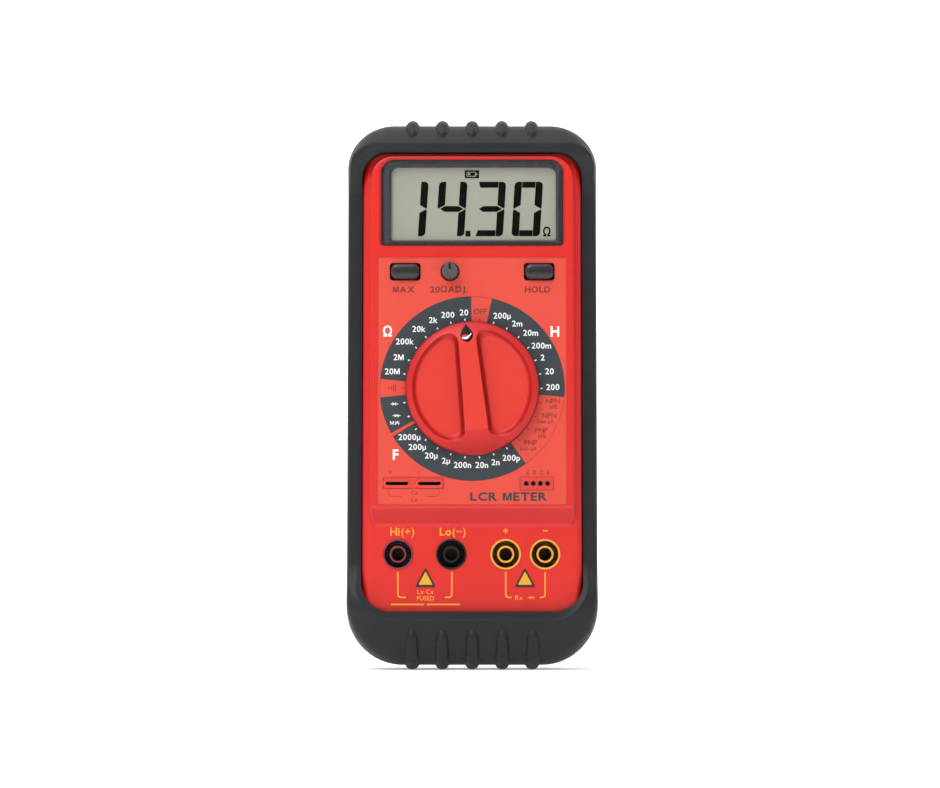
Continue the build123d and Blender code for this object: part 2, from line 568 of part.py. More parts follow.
def jack(x):
    """A shrouded socket: an outer wall, a groove for the plug's sleeve, and an inner tube."""
    shroud = pipe(x, JACK_Y, JACK_BASE_Z, JACK_TOP_Z, JACK_OUTER, JACK_OUTER - JACK_WALL)
    shroud = fillet(edges_at(shroud, JACK_TOP_Z), 0.3)
    shroud += rod(x, JACK_Y, JACK_BASE_Z, JACK_BASE_Z + 1.2, JACK_OUTER - JACK_WALL)
    tube = rod(x, JACK_Y, JACK_BASE_Z, JACK_DECK_Z, JACK_TUBE)
    tube = fillet(edges_at(tube, JACK_DECK_Z), 0.25)
    shroud += tube
    return shroud - rod(x, JACK_Y, JACK_BASE_Z - 1, JACK_DECK_Z + 1, JACK_BORE)


def jack_contact(x):
    """A closed sleeve for a 4 mm plug, with a solder tail through the main board."""
    sleeve = rod(x, JACK_Y, CONTACT_LOW_Z, CONTACT_TOP_Z, JACK_BORE - 0.05)
    sleeve -= rod(x, JACK_Y, CONTACT_LOW_Z + 1, CONTACT_TOP_Z + 1, PLUG_RADIUS)
    return sleeve + rod(x, JACK_Y, BOARD_UNDER_Z - 1.2, CONTACT_LOW_Z, TAIL_RADIUS)


def component_socket():
    x0, x1, y0, y1 = SLOT_BLOCK
    gap = 0.1
    body = block(x0 + gap, x1 - gap, y0 + gap, y1 - gap, SOCKET_LOW_Z, DECK_Z)
    for x in SLOT_X:
        half = SLOT_LENGTH / 2
        body -= block(x - half, x + half, SOCKET_Y - 0.8, SOCKET_Y + 0.8, SOCKET_LOW_Z - 1, DECK_Z + 1)
        lead_in = [
            Pos(x, SOCKET_Y, DECK_Z - 0.7) * Rectangle(SLOT_LENGTH, SLOT_WIDTH),
            Pos(x, SOCKET_Y, DECK_Z + 0.01) * Rectangle(SLOT_LENGTH + 1.2, SLOT_WIDTH + 1.2),
        ]
        body -= loft(lead_in, ruled=True)
    return body


def component_contacts():
    """Pairs of sprung blades, one pair in each slot."""
    blades = []
    for x in SLOT_X:
        for side in (-1, 1):
            y = SOCKET_Y + side * 0.55
            blades.append(block(x - 3.2, x + 3.2, y - 0.15, y + 0.15, BOARD_TOP_Z, 33.0))
    return Compound(blades)


def lead_places():
    return [LEAD_X + (i - 1.5) * LEAD_PITCH for i in range(4)]


def transistor_socket():
    """Four cells side by side, each with the hole for one lead."""
    x0, x1, y0, y1 = LEAD_BLOCK
    gap = 0.1
    half_pitch = LEAD_PITCH / 2
    places = lead_places()
    lefts = [x0 + gap] + [x - half_pitch for x in places[1:]]
    rights = [x + half_pitch - CELL_GAP for x in places[:-1]] + [x1 - gap]
    cells = []
    for x, left, right in zip(places, lefts, rights):
        cell = block(left, right, y0 + gap, y1 - gap, SOCKET_LOW_Z, DECK_Z)
        cells.append(cell - rod(x, SOCKET_Y, DECK_Z - LEAD_DEPTH, DECK_Z + 1, LEAD_RADIUS))
    return Compound(cells)


def transistor_contacts():
    return Compound([rod(x, SOCKET_Y, BOARD_TOP_Z, SOCKET_LOW_Z, 0.5) for x in lead_places()])


def main_board():
    board = slab(-35.5, 35.5, -72.0, 47.0, BOARD_UNDER_Z, BOARD_TOP_Z, 3.0)
    for x, y in SCREW_PLACES:
        board -= rod(x, y, BOARD_UNDER_Z - 1, BOARD_TOP_Z + 1, SCREW_RADIUS + 0.2)
    for x in JACK_X.values():
        board -= rod(x, JACK_Y, BOARD_UNDER_Z - 1, BOARD_TOP_Z + 1, TAIL_RADIUS + 0.1)
    return board


def display_board():
    return slab(-34, 34, 34.6, 84.6, DISPLAY_BOARD_TOP_Z - BOARD_THICK, DISPLAY_BOARD_TOP_Z, 2.0)


def board_header():
    """The pin strip that joins the two boards."""
    z0, z1 = BOARD_TOP_Z, DISPLAY_BOARD_TOP_Z - BOARD_THICK
    strip = block(-12.7, 12.7, 43.0, 45.5, z0 + 3.2, z0 + 5.2)
    pins = [block(x - 0.32, x + 0.32, 43.93, 44.57, z0, z1) for x in [2.54 * (i - 4.5) for i in range(10)]]
    for p in pins:
        strip += p
    return strip


def battery():
    x0, x1, y0, y1, z0, z1 = BATTERY
    cell = slab(x0, x1, y0, y1, z0, z1, 2.0)
    mid_y, mid_z = (y0 + y1) / 2, (z0 + z1) / 2
    for side, radius in ((-1, 2.9), (1, 3.9)):
        stud = Plane(origin=(x1, mid_y + side * 6.35, mid_z), z_dir=(1, 0, 0))
        cell += stud * Cylinder(radius, 2.0, align=LOW)
    return cell


def battery_clip():
    """The snap plate that presses on the battery's two studs."""
    _, x1, y0, y1, z0, z1 = BATTERY
    mid_y, mid_z = (y0 + y1) / 2, (z0 + z1) / 2
    clip = block(x1 + 0.2, x1 + 3.2, mid_y - 12, mid_y + 12, mid_z - 5.5, mid_z + 5.5)
    for side, radius in ((-1, 3.0), (1, 4.0)):
        seat = Plane(origin=(x1, mid_y + side * 6.35, mid_z), z_dir=(1, 0, 0))
        clip -= seat * Cylinder(radius, 2.2, align=LOW)
    return clip


def battery_leads():
    """Two insulated wires from the clip to the main board."""
    x1 = BATTERY[1]
    leads = []
    for x, y, height in ((29.6, 63.0, 15.6), (31.4, 60.0, 18.0)):
        points = [(x1 + 3.2, y, height), (x, y, height), (x, 43.0, height), (x, 43.0, BOARD_TOP_Z)]
        path = FilletPolyline(*points, radius=1.4)
        leads.append(sweep(Plane(origin=path @ 0, z_dir=path % 0) * Circle(0.55), path=path))
    return Compound(leads)


def fuse():
    """A 5 x 20 mm glass fuse: the tube with its two end caps."""
    x, y, z = FUSE_AT
    along = Pos(x, y, z) * Rot(90, 0, 0)
    fuse_body = along * Cylinder(2.35, 20)
    for side in (-1, 1):
        fuse_body += along * Pos(0, 0, side * 7.5) * Cylinder(2.6, 5)
    return fuse_body


def fuse_clips():
    x, mid_y, z = FUSE_AT
    clips = []
    for y in (mid_y - 7.5, mid_y + 7.5):
        clip = block(x - 3.1, x + 3.1, y - 2, y + 2, BOARD_TOP_Z, z + 1.8)
        clip -= Pos(x, y, z) * Rot(90, 0, 0) * Cylinder(2.62, 10)
        clips.append(clip - block(x - 2.0, x + 2.0, y - 3, y + 3, z, z + 10))
    return Compound(clips)


def measuring_chip():
    """The measuring chip in its flat package, with legs along two sides."""
    chip = block(-6.5, 6.5, 31.0, 40.0, BOARD_TOP_Z + 0.4, BOARD_TOP_Z + 2.4)
    for i in range(12):
        x = (i - 5.5) * 1.0
        chip += block(x - 0.2, x + 0.2, 29.8, 41.2, BOARD_TOP_Z, BOARD_TOP_Z + 0.6)
    return chip


def capacitors():
    return Compound([rod(x, -41.5, BOARD_TOP_Z, BOARD_TOP_Z + 8, 2.4) for x in (-28.0, -8.0, 0.0, 8.0)])


def buzzer():
    top = BOARD_TOP_Z + 6
    return rod(-26.0, 41.0, BOARD_TOP_Z, top, 5.0) - rod(-26.0, 41.0, top - 1, top + 1, 1.0)


def rating_label():
    return slab(-19.8, 19.8, -29.8, -0.2, CASE_BACK_Z + 0.03, CASE_BACK_Z + 0.15, 1.3)


def stand_up(shape):
    """From the face-up drawing to the meter standing on its lower end, front to -Y."""
    half_depth = DIAL_TOP_Z / 2
    return Pos(0, half_depth, -CREST_LOW_Y) * Rot(90, 0, 0) * shape


def write(name, shape):
    shape = stand_up(shape)
    shape.label = name
    export_step(shape, f"parts/{name}.step")


def main():
    os.makedirs("parts", exist_ok=True)
    pieces = {
        "holster": holster(),
        "tilt_stand": tilt_stand(),
        "stand_hinge_pin": stand_hinge_pin(),
        "front_case": front_case(),
        "rear_case": rear_case(),
        "battery_door": battery_door(),
        "battery_door_screw": battery_door_screw(),
        "case_screws": case_screws(),
        "display_window": display_window(),
        "lcd_bezel": lcd_bezel(),
        "lcd_panel": lcd_panel(),
        "zebra_strips": zebra_strips(),
        "face_plate": face_plate(),
        "range_dial": range_dial(),
        "dial_pointer": dial_pointer(),
        "dial_rotor": dial_rotor(),
        "detent_balls": detent_balls(),
        "detent_springs": detent_springs(),
        "detent_ring": detent_ring(),
        "rotor_wipers": rotor_wipers(),
        "dial_screw": dial_screw(),
        "max_button": button(-BUTTON_X),
        "hold_button": button(BUTTON_X),
        "max_switch": switch_body(-BUTTON_X),
        "hold_switch": switch_body(BUTTON_X),
        "max_plunger": switch_plunger(-BUTTON_X),
        "hold_plunger": switch_plunger(BUTTON_X),
        "ohm_adjust_knob": adjust_knob(),
        "ohm_adjust_shaft": adjust_shaft(),
        "ohm_adjust_pot": adjust_pot(),
        "component_socket": component_socket(),
        "component_contacts": component_contacts(),
        "transistor_socket": transistor_socket(),
        "transistor_contacts": transistor_contacts(),
        "main_board": main_board(),
        "display_board": display_board(),
        "board_header": board_header(),
        "battery": battery(),
        "battery_clip": battery_clip(),
        "battery_leads": battery_leads(),
        "fuse": fuse(),
        "fuse_clips": fuse_clips(),
        "measuring_chip": measuring_chip(),
        "capacitors": capacitors(),
        "buzzer": buzzer(),
        "rating_label": rating_label(),
    }
    for name, x in JACK_X.items():
        pieces[f"{name}_jack"] = jack(x)
        pieces[f"{name}_contact"] = jack_contact(x)
    for name, shape in pieces.items():
        write(name, shape)


main()
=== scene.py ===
"""The looks of the handheld LCR meter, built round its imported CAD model.

Face coordinates are millimetres on the meter's front: x to the right, y up from the case's middle, z out
of the face from the holster's back. at() turns them into metres in the row's frame.
"""

import math

import bmesh
import bpy
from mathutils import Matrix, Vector
from mathutils.geometry import tessellate_polygon


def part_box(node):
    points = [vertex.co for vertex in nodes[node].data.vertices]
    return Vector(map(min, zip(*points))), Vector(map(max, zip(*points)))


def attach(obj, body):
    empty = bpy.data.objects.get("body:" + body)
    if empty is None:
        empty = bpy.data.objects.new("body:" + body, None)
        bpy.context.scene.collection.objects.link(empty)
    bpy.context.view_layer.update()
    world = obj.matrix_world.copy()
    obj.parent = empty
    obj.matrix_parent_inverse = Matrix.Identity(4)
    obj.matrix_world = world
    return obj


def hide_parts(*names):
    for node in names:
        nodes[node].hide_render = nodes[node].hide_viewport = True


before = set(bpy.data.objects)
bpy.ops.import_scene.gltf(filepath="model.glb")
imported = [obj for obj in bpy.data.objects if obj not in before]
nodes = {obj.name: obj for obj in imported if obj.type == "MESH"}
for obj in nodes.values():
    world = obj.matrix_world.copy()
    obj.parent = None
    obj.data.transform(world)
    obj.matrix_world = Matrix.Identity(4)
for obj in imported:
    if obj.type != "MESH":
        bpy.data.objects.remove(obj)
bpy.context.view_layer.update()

MM = 0.001
CASE_LOW, CASE_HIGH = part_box("front_case")
MIDDLE = (CASE_LOW.z + CASE_HIGH.z) / 2
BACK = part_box("holster")[1].y

# Heights out of the holster's back
DECK_Z, JACK_DECK_Z = 35.0, 31.0
PRINT_THICK = 0.03

# Dial, and the scale round it
DIAL_Y, DIAL_FOOT_Z, DIAL_TOP_Z = 0.7, 35.3, 42.0
DIAL_REST_DEG = 6.0
WALL_RUN = 1.9  # how far the recesses' walls lean in
STEPS, STEP_DEG = 30, 12.0
SCALE_INNER, SCALE_OUTER = 23.6, 33.2

# Buttons, and the adjuster between them
BUTTON_X, BUTTON_Y, BUTTON_SIZE = 24.1, 42.8, (10.2, 5.6)
BUTTON_FOOT_Z, BUTTON_TOP_Z = 33.0, 37.3
KNOB_X, KNOB_TOP_Z = -8.0, 39.8

# Sockets at the foot of the face plate
SOCKETS_Y = -33.4
SLOTS_X, SLOT_LIP, SLOT_OPENING = (-26.9, -15.3), (9.9, 3.3), (8.1, 1.25)
LEADS_X, LEAD_PITCH, LEAD_HOLE, LEAD_RIM = 23.1, 2.54, 0.55, 0.95


def at(x, y, z):
    return Vector((x * MM, BACK - z * MM, MIDDLE + y * MM))


def smoothstep(low, high, value):
    t = min(1.0, max(0.0, (value - low) / (high - low)))
    return t * t * (3 - 2 * t)


# ---------------------------------------------------------------- materials

MIX_SHARE, MIX_A, MIX_B, MIX_RESULT = 0, 6, 7, 2  # the colour sockets of a Mix node
LEANING = (0.84, 0.97)  # how squarely a surface faces the front, from a leaning side to a flat deck
# Dial colours by how squarely the surface faces the front: painted shade down the recesses' walls, painted
# shade on the crown's outer slope, and the top's own red
DIAL_WALL_SHADE_RED, DIAL_SLOPE_SHADE_RED, DIAL_TOP_RED = (0.18, 0.005, 0.005), (0.54, 0.011, 0.009), (0.6, 0.036, 0.023)


M = {}  # the materials made here, by name


def new_material(name):
    """A material that joins M, as its node tree and its shader."""
    M[name] = bpy.data.materials.new(name)
    M[name].use_nodes = True
    tree = M[name].node_tree
    return tree, tree.nodes["Principled BSDF"]


def noise(tree, scale, detail=3.0):
    """Noise in the object's own metres."""
    where = tree.nodes.new("ShaderNodeTexCoord")
    texture = tree.nodes.new("ShaderNodeTexNoise")
    texture.inputs["Scale"].default_value = scale
    texture.inputs["Detail"].default_value = detail
    texture.inputs["Roughness"].default_value = 0.55
    tree.links.new(where.outputs["Object"], texture.inputs["Vector"])
    return texture.outputs["Fac"]


def ramp(tree, value, dark, light, low=0.3, high=0.7):
    """Blends two colours by a value."""
    blend = tree.nodes.new("ShaderNodeValToRGB")
    blend.color_ramp.elements[0].position = low
    blend.color_ramp.elements[1].position = high
    blend.color_ramp.elements[0].color = (*dark, 1)
    blend.color_ramp.elements[1].color = (*light, 1)
    tree.links.new(value, blend.inputs["Fac"])
    return blend.outputs["Color"]


def mixed(tree, share, base, colour):
    """Blends a plain colour into another one by a share."""
    mix = tree.nodes.new("ShaderNodeMix")
    mix.data_type = "RGBA"
    mix.inputs[MIX_B].default_value = (*colour, 1)
    tree.links.new(share, mix.inputs[MIX_SHARE])
    tree.links.new(base, mix.inputs[MIX_A])
    return mix.outputs[MIX_RESULT]


def maths(tree, operation, *values):
    """A Math node on outputs of other nodes and plain numbers."""
    node = tree.nodes.new("ShaderNodeMath")
    node.operation = operation
    for value, place in zip(values, node.inputs):
        if isinstance(value, float):
            place.default_value = value
        else:
            tree.links.new(value, place)
    return node.outputs["Value"]


def remapped(tree, value, to_range, from_range=(0.0, 1.0)):
    """Carries a value from one range over to another."""
    node = tree.nodes.new("ShaderNodeMapRange")
    limits = (*from_range, *to_range)
    for name, limit in zip(("From Min", "From Max", "To Min", "To Max"), limits):
        node.inputs[name].default_value = limit
    tree.links.new(value, node.inputs["Value"])
    return node.outputs["Result"]


def axes(tree, output):
    """One of the texture coordinates, split into X, Y and Z."""
    where = tree.nodes.new("ShaderNodeTexCoord")
    split = tree.nodes.new("ShaderNodeSeparateXYZ")
    tree.links.new(where.outputs[output], split.inputs["Vector"])
    return split.outputs


def facing_front(tree):
    """1 where the surface faces the meter's front or back, down to 0 where it stands square to them."""
    return maths(tree, "ABSOLUTE", axes(tree, "Normal")["Y"])


def bump(tree, shader, value, distance):
    node = tree.nodes.new("ShaderNodeBump")
    node.inputs["Distance"].default_value = distance
    tree.links.new(value, node.inputs["Height"])
    tree.links.new(node.outputs["Normal"], shader.inputs["Normal"])


def uneven_gloss(tree, shader, roughness):
    """Lets the roughness drift a little over the surface."""
    drift = remapped(tree, noise(tree, 220.0), (roughness - 0.05, roughness + 0.05))
    tree.links.new(drift, shader.inputs["Roughness"])


def moulded(
    name, colour, roughness, grain=1500.0, depth=0.00002,
    spread=0.06, coat=0.0, wear=0.0, shine=0.5, leaning_shade=None,
):
    """Moulded plastic or rubber: a fine grain, and a slight unevenness of colour and gloss.

    Wear lightens the edges; the colour given last is painted shade, for the sides that lean away from the
    front.
    """
    tree, shader = new_material(name)
    dark = [c * (1 - spread) for c in colour]
    light = [min(1.0, c * (1 + spread)) for c in colour]
    base = ramp(tree, noise(tree, 60.0, 4.0), dark, light)
    if wear:
        edges = tree.nodes.new("ShaderNodeNewGeometry")
        rub = ramp(tree, edges.outputs["Pointiness"], (0, 0, 0), (1, 1, 1), 0.52, 0.62)
        base = mixed(tree, rub, base, [min(1.0, c + wear) for c in colour])
    # painted shade: a darker colour where the surface leans away from the front
    if leaning_shade:
        base = mixed(tree, remapped(tree, facing_front(tree), (1.0, 0.0), LEANING), base, leaning_shade)
    tree.links.new(base, shader.inputs["Base Color"])
    uneven_gloss(tree, shader, roughness)
    shader.inputs["Specular IOR Level"].default_value = shine
    shader.inputs["Coat Weight"].default_value = coat
    shader.inputs["Coat Roughness"].default_value = 0.15
    bump(tree, shader, noise(tree, grain, 2.0), depth)


def dial_plastic(name):
    """Red plastic with painted shade: a darker red down the walls and slopes than on the grained tops, by
    how far the surface turns from the front.
    """
    tree, shader = new_material(name)
    # painted shade: the red darkens as the surface turns away from the front
    base = ramp(tree, facing_front(tree), DIAL_WALL_SHADE_RED, DIAL_TOP_RED, 0.4, 0.995)
    middle = base.node.color_ramp.elements.new(0.93)
    middle.color = (*DIAL_SLOPE_SHADE_RED, 1)
    tree.links.new(base, shader.inputs["Base Color"])
    uneven_gloss(tree, shader, 0.38)
    shader.inputs["Specular IOR Level"].default_value = 0.3
    bump(tree, shader, noise(tree, 2600.0, 2.0), 0.00003)


def metal(name, colour, roughness):
    tree, shader = new_material(name)
    dark = [c * 0.85 for c in colour]
    tree.links.new(ramp(tree, noise(tree, 400.0), dark, colour), shader.inputs["Base Color"])
    shader.inputs["Metallic"].default_value = 1.0
    shader.inputs["Roughness"].default_value = roughness
    bump(tree, shader, noise(tree, 3000.0), 0.000004)


def ink(name, colour, roughness=0.55, shine=0.4):
    """Printing ink, a little uneven where it takes up the film's grain."""
    tree, shader = new_material(name)
    dark = [c * 0.93 for c in colour]
    tree.links.new(ramp(tree, noise(tree, 1800.0), dark, colour), shader.inputs["Base Color"])
    shader.inputs["Roughness"].default_value = roughness
    shader.inputs["Specular IOR Level"].default_value = shine
    bump(tree, shader, noise(tree, 1500.0, 2.0), 0.00001)


def clear(name, gloss_share, tint=(1, 1, 1)):
    """A thin clear cover: mostly seen straight through, with a faint reflection."""
    tree, shader = new_material(name)
    tree.nodes.remove(shader)
    seen_through = tree.nodes.new("ShaderNodeBsdfTransparent")
    seen_through.inputs["Color"].default_value = (*tint, 1)
    shine = tree.nodes.new("ShaderNodeBsdfGlossy")
    shine.inputs["Roughness"].default_value = 0.08
    facing = tree.nodes.new("ShaderNodeFresnel")
    facing.inputs["IOR"].default_value = 1.45
    mix = tree.nodes.new("ShaderNodeMixShader")
    tree.links.new(maths(tree, "MULTIPLY", facing.outputs["Fac"], gloss_share), mix.inputs["Fac"])
    tree.links.new(seen_through.outputs["BSDF"], mix.inputs[1])
    tree.links.new(shine.outputs["BSDF"], mix.inputs[2])
    tree.links.new(mix.outputs["Shader"], tree.nodes["Material Output"].inputs["Surface"])


# the case's leaning sides take a painted shade
moulded(
    "case_red", (0.59, 0.018, 0.012), 0.34, grain=2600.0, depth=0.000018,
    spread=0.03, shine=0.38, leaning_shade=(0.5, 0.007, 0.006),
)
moulded("plate_red", (0.61, 0.048, 0.026), 0.5, grain=2200.0, depth=0.000025, spread=0.03)
dial_plastic("dial_red")
moulded("pointer_black", (0.005,) * 3, 0.5, grain=2500.0, depth=0.000005, shine=0.15)
moulded("socket_red", (0.59, 0.032, 0.022), 0.5, grain=2200.0, spread=0.03)
moulded(
    "rubber", (0.014, 0.0155, 0.018), 0.48, grain=1700.0, depth=0.00003,
    spread=0.1, wear=0.006, shine=0.22,
)
moulded("dark_plastic", (0.03, 0.034, 0.04), 0.5, grain=1800.0, spread=0.1)
moulded("black", (0.012, 0.012, 0.013), 0.3, grain=2500.0, depth=0.00001, coat=0.2)
moulded("button_black", (0.022, 0.02, 0.02), 0.26, grain=2500.0, depth=0.000006, shine=0.4)
moulded("knob_black", (0.06, 0.058, 0.06), 0.4, grain=2500.0)
moulded("bezel", (0.046, 0.048, 0.054), 0.42, grain=2500.0, spread=0.05, shine=0.35)
moulded("lcd", (0.318, 0.324, 0.264), 0.35, grain=3000.0, depth=0.000004, spread=0.015)
ink("lcd_dark", (0.003, 0.003, 0.002), 0.6, 0.05)
ink("white_ink", (0.84, 0.86, 0.86))
ink("slate_ink", (0.026, 0.034, 0.04), 0.5)
ink("maroon_ink", (0.17, 0.02, 0.018))
ink("line_ink", (0.36, 0.02, 0.015))
ink("yellow_ink", (0.84, 0.32, 0.026))
ink("lemon_ink", (0.66, 0.36, 0.016))
ink("black_ink", (0.035, 0.012, 0.008))
moulded("jack_maroon", (0.17, 0.018, 0.03), 0.35, depth=0.00001)
moulded("jack_black", (0.01, 0.009, 0.01), 0.32, depth=0.00001, shine=0.25)
moulded("jack_yellow", (0.7, 0.33, 0.03), 0.4, depth=0.00001)
moulded("nylon", (0.8, 0.79, 0.74), 0.5)
moulded("pot_blue", (0.04, 0.12, 0.4), 0.4)
moulded("board", (0.02, 0.16, 0.06), 0.3, grain=900.0, coat=0.5)
moulded("label", (0.62, 0.63, 0.64), 0.35, grain=2500.0)
moulded("contact_rubber", (0.6, 0.2, 0.26), 0.7)
metal("steel", (0.62, 0.61, 0.58), 0.3)
metal("brass", (0.75, 0.55, 0.24), 0.28)
metal("plated", (0.07, 0.05, 0.035), 0.45)
moulded("battery", (0.06, 0.06, 0.07), 0.3, coat=0.4)
moulded("sleeve", (0.02, 0.03, 0.1), 0.3, coat=0.4)
clear("window", 0.12)
clear("fuse_glass", 1.0, (0.95, 0.97, 0.95))

NODE_MATERIALS = {
    "case_red": "front_case rear_case battery_door",
    "plate_red": "face_plate",
    "socket_red": "component_socket transistor_socket",
    "dark_plastic": "tilt_stand",
    "black": "component_contacts battery_clip battery_leads measuring_chip buzzer max_switch hold_switch",
    "knob_black": "ohm_adjust_knob",
    "bezel": "lcd_bezel",
    "lcd": "lcd_panel",
    "jack_maroon": "hi_jack",
    "jack_black": "lo_jack",
    "jack_yellow": "plus_jack minus_jack",
    "nylon": "dial_rotor detent_ring max_plunger hold_plunger ohm_adjust_shaft",
    "pot_blue": "ohm_adjust_pot",
    "board": "main_board display_board",
    "label": "rating_label",
    "contact_rubber": "zebra_strips",
    "steel": "case_screws battery_door_screw dial_screw detent_balls detent_springs stand_hinge_pin",
    "brass": "transistor_contacts board_header rotor_wipers fuse_clips",
    "plated": "hi_contact lo_contact plus_contact minus_contact",
    "battery": "battery",
    "sleeve": "capacitors",
    "window": "display_window",
    "fuse_glass": "fuse",
}


def dress_nodes():
    """Gives every CAD node that stays its procedural material."""
    for material, names in NODE_MATERIALS.items():
        for name in names.split():
            mesh = nodes[name].data
            mesh.materials.clear()
            mesh.materials.append(M[material])


# ---------------------------------------------------------------- mesh helpers


def piece(name, verts, faces, body, material, crease_deg=35.0):
    """A mesh piece from face coordinates, smooth but for its sharp edges."""
    mesh = bpy.data.meshes.new(name)
    mesh.from_pydata([at(*v) for v in verts], [], faces)
    bm = bmesh.new()
    bm.from_mesh(mesh)
    bmesh.ops.remove_doubles(bm, verts=bm.verts, dist=1e-7)
    bmesh.ops.recalc_face_normals(bm, faces=bm.faces)
    limit = math.radians(crease_deg)
    for face in bm.faces:
        face.smooth = True
    for edge in bm.edges:
        edge.smooth = len(edge.link_faces) == 2 and edge.calc_face_angle(0.0) < limit
    bm.to_mesh(mesh)
    bm.free()
    mesh.materials.append(M[material])
    made = bpy.data.objects.new(name, mesh)
    bpy.context.scene.collection.objects.link(made)
    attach(made, body)
    return made


def bands(count, rings, first=0, closed=False):
    """Quads from each ring of verts to the next, and if closed from the last ring to the first."""
    faces = []
    for j in range(rings if closed else rings - 1):
        a, b = first + j * count, first + (j + 1) % rings * count
        for i in range(count):
            n = (i + 1) % count
            faces.append((a + i, a + n, b + n, b + i))
    return faces


def prism(outline, z0, z1):
    """Verts and faces of a flat outline, listed counter-clockwise, given a thickness."""
    count = len(outline)
    verts = [(x, y, z0) for x, y in outline] + [(x, y, z1) for x, y in outline]
    triangles = tessellate_polygon([[Vector((x, y, 0)) for x, y in outline]])
    faces = [tuple(i + count for i in t) for t in triangles]
    faces += [tuple(reversed(t)) for t in triangles]
    return verts, faces + bands(count, 2)


class Print:
    """Collects flat shapes of one ink into one piece."""

    def __init__(self, name, material, slot, z, thick=PRINT_THICK):
        self.name, self.material, self.slot = name, material, slot
        self.z, self.thick = z, thick
        self.verts, self.faces = [], []

    def add(self, verts, faces):
        start = len(self.verts)
        self.verts += verts
        self.faces += [tuple(i + start for i in f) for f in faces]

    def shape(self, outline):
        self.add(*prism(outline, self.z, self.z + self.thick))

    def line(self, points, width):
        """A line of constant width through points, with mitred corners."""
        left, right = [], []
        for i, (x, y) in enumerate(points):
            before = Vector(points[max(i - 1, 0)])
            after = Vector(points[min(i + 1, len(points) - 1)])
            here = Vector((x, y))
            a = (here - before).normalized() if i else (after - here).normalized()
            b = (after - here).normalized() if i < len(points) - 1 else a
            across = Vector((-(a.y + b.y), a.x + b.x)).normalized()
            reach = width / 2 / max(0.3, across.dot(Vector((-a.y, a.x))))
            left.append((x + across.x * reach, y + across.y * reach))
            right.append((x - across.x * reach, y - across.y * reach))
        verts = [(x, y, z) for z in (self.z, self.z + self.thick) for x, y in left + right]
        count = len(points)
        faces = []
        for i in range(count - 1):
            for shift, flip in ((0, True), (2 * count, False)):
                quad = (i, i + count, i + count + 1, i + 1)
                quad = tuple(k + shift for k in quad)
                faces.append(tuple(reversed(quad)) if flip else quad)
            for k in (i, i + count):
                faces.append((k, k + 1, k + 1 + 2 * count, k + 2 * count))
        for k in (0, count - 1):
            faces.append((k, k + count, k + 3 * count, k + 2 * count))
        self.add(verts, faces)

    def around(self, outline, width):
        """A line round an outline, with its two ends at the outline's first point."""
        self.line(outline + [outline[0]], width)

    def hoop(self, section):
        """A closed ring of outlines of equally many points, each at a share of the thickness."""
        verts = [(x, y, self.z + share * self.thick) for outline, share in section for x, y in outline]
        self.add(verts, bands(len(section[0][0]), len(section), closed=True))

    def frame(self, x, y, outer, inner):
        """A raised frame with round ends and a sloping inside, round a slot."""
        section = []
        for (wide, tall), share in ((outer, 0.0), (outer, 0.6), (inner, 1.0), (inner, 0.0)):
            corner = tall / 2 - 0.01
            outline = rounded(x - wide / 2, x + wide / 2, y - tall / 2, y + tall / 2, corner)
            section.append((outline, share))
        self.hoop(section)

    def ring(self, x, y, outer, inner):
        """A flat ring round a point."""
        turns = [math.radians(15 * k) for k in range(24)]
        rims = [[(x + r * math.cos(a), y + r * math.sin(a)) for a in turns] for r in (outer, inner)]
        self.hoop([(rims[0], 0.0), (rims[1], 0.0), (rims[1], 1.0), (rims[0], 1.0)])

    def text(self, words, x, y, height, squeeze=1.0, bold=0.012, spacing=1.0):
        """Words centred on a point, with capitals of one height."""
        gap = LETTER_GAP * spacing
        placed, cursor = [], 0.0
        for letter in words:
            if letter == " ":
                cursor += WORD_GAP * spacing
                continue
            verts, faces, left, right = glyph(letter, bold)
            placed.append((verts, faces, cursor - left))
            cursor += right - left + gap
        middle = (cursor - gap) / 2
        for verts, faces, shift in placed:
            wide = height * squeeze
            inked = [
                (x + (u + shift - middle) * wide, y + (v - 0.5) * height, self.z + top * self.thick)
                for u, v, top in verts
            ]
            self.add(inked, faces)

    def finish(self, body="meter"):
        return piece(self.name, self.verts, self.faces, body, self.material)


def text_mesh(letter, bold):
    curve = bpy.data.curves.new("letter", "FONT")
    curve.body = letter
    curve.resolution_u = 3
    curve.offset = bold
    curve.extrude = 0.01
    holder = bpy.data.objects.new("letter", curve)
    bpy.context.scene.collection.objects.link(holder)
    bpy.context.view_layer.update()
    mesh = bpy.data.meshes.new_from_object(holder.evaluated_get(bpy.context.evaluated_depsgraph_get()))
    bpy.data.objects.remove(holder)
    bpy.data.curves.remove(curve)
    return mesh


def capital_height():
    mesh = text_mesh("H", 0.0)
    tall = max(v.co.y for v in mesh.vertices) - min(v.co.y for v in mesh.vertices)
    bpy.data.meshes.remove(mesh)
    return tall


CAPITAL = capital_height()
LETTER_GAP, WORD_GAP = 0.13, 0.42  # shares of a capital's height
glyphs = {}


def drawn_m(stroke):
    """A capital M in a box one unit high."""
    wide, apex, notch = 0.98, 0.34, 0.66
    shoulder, half_foot = stroke * 1.3, stroke * 0.42
    return [
        (0, 0), (stroke, 0), (stroke, notch), (wide / 2 - half_foot, 0), (wide / 2 + half_foot, 0),
        (wide - stroke, notch), (wide - stroke, 0), (wide, 0), (wide, 1), (wide - shoulder, 1),
        (wide / 2, apex), (shoulder, 1), (0, 1),
    ]


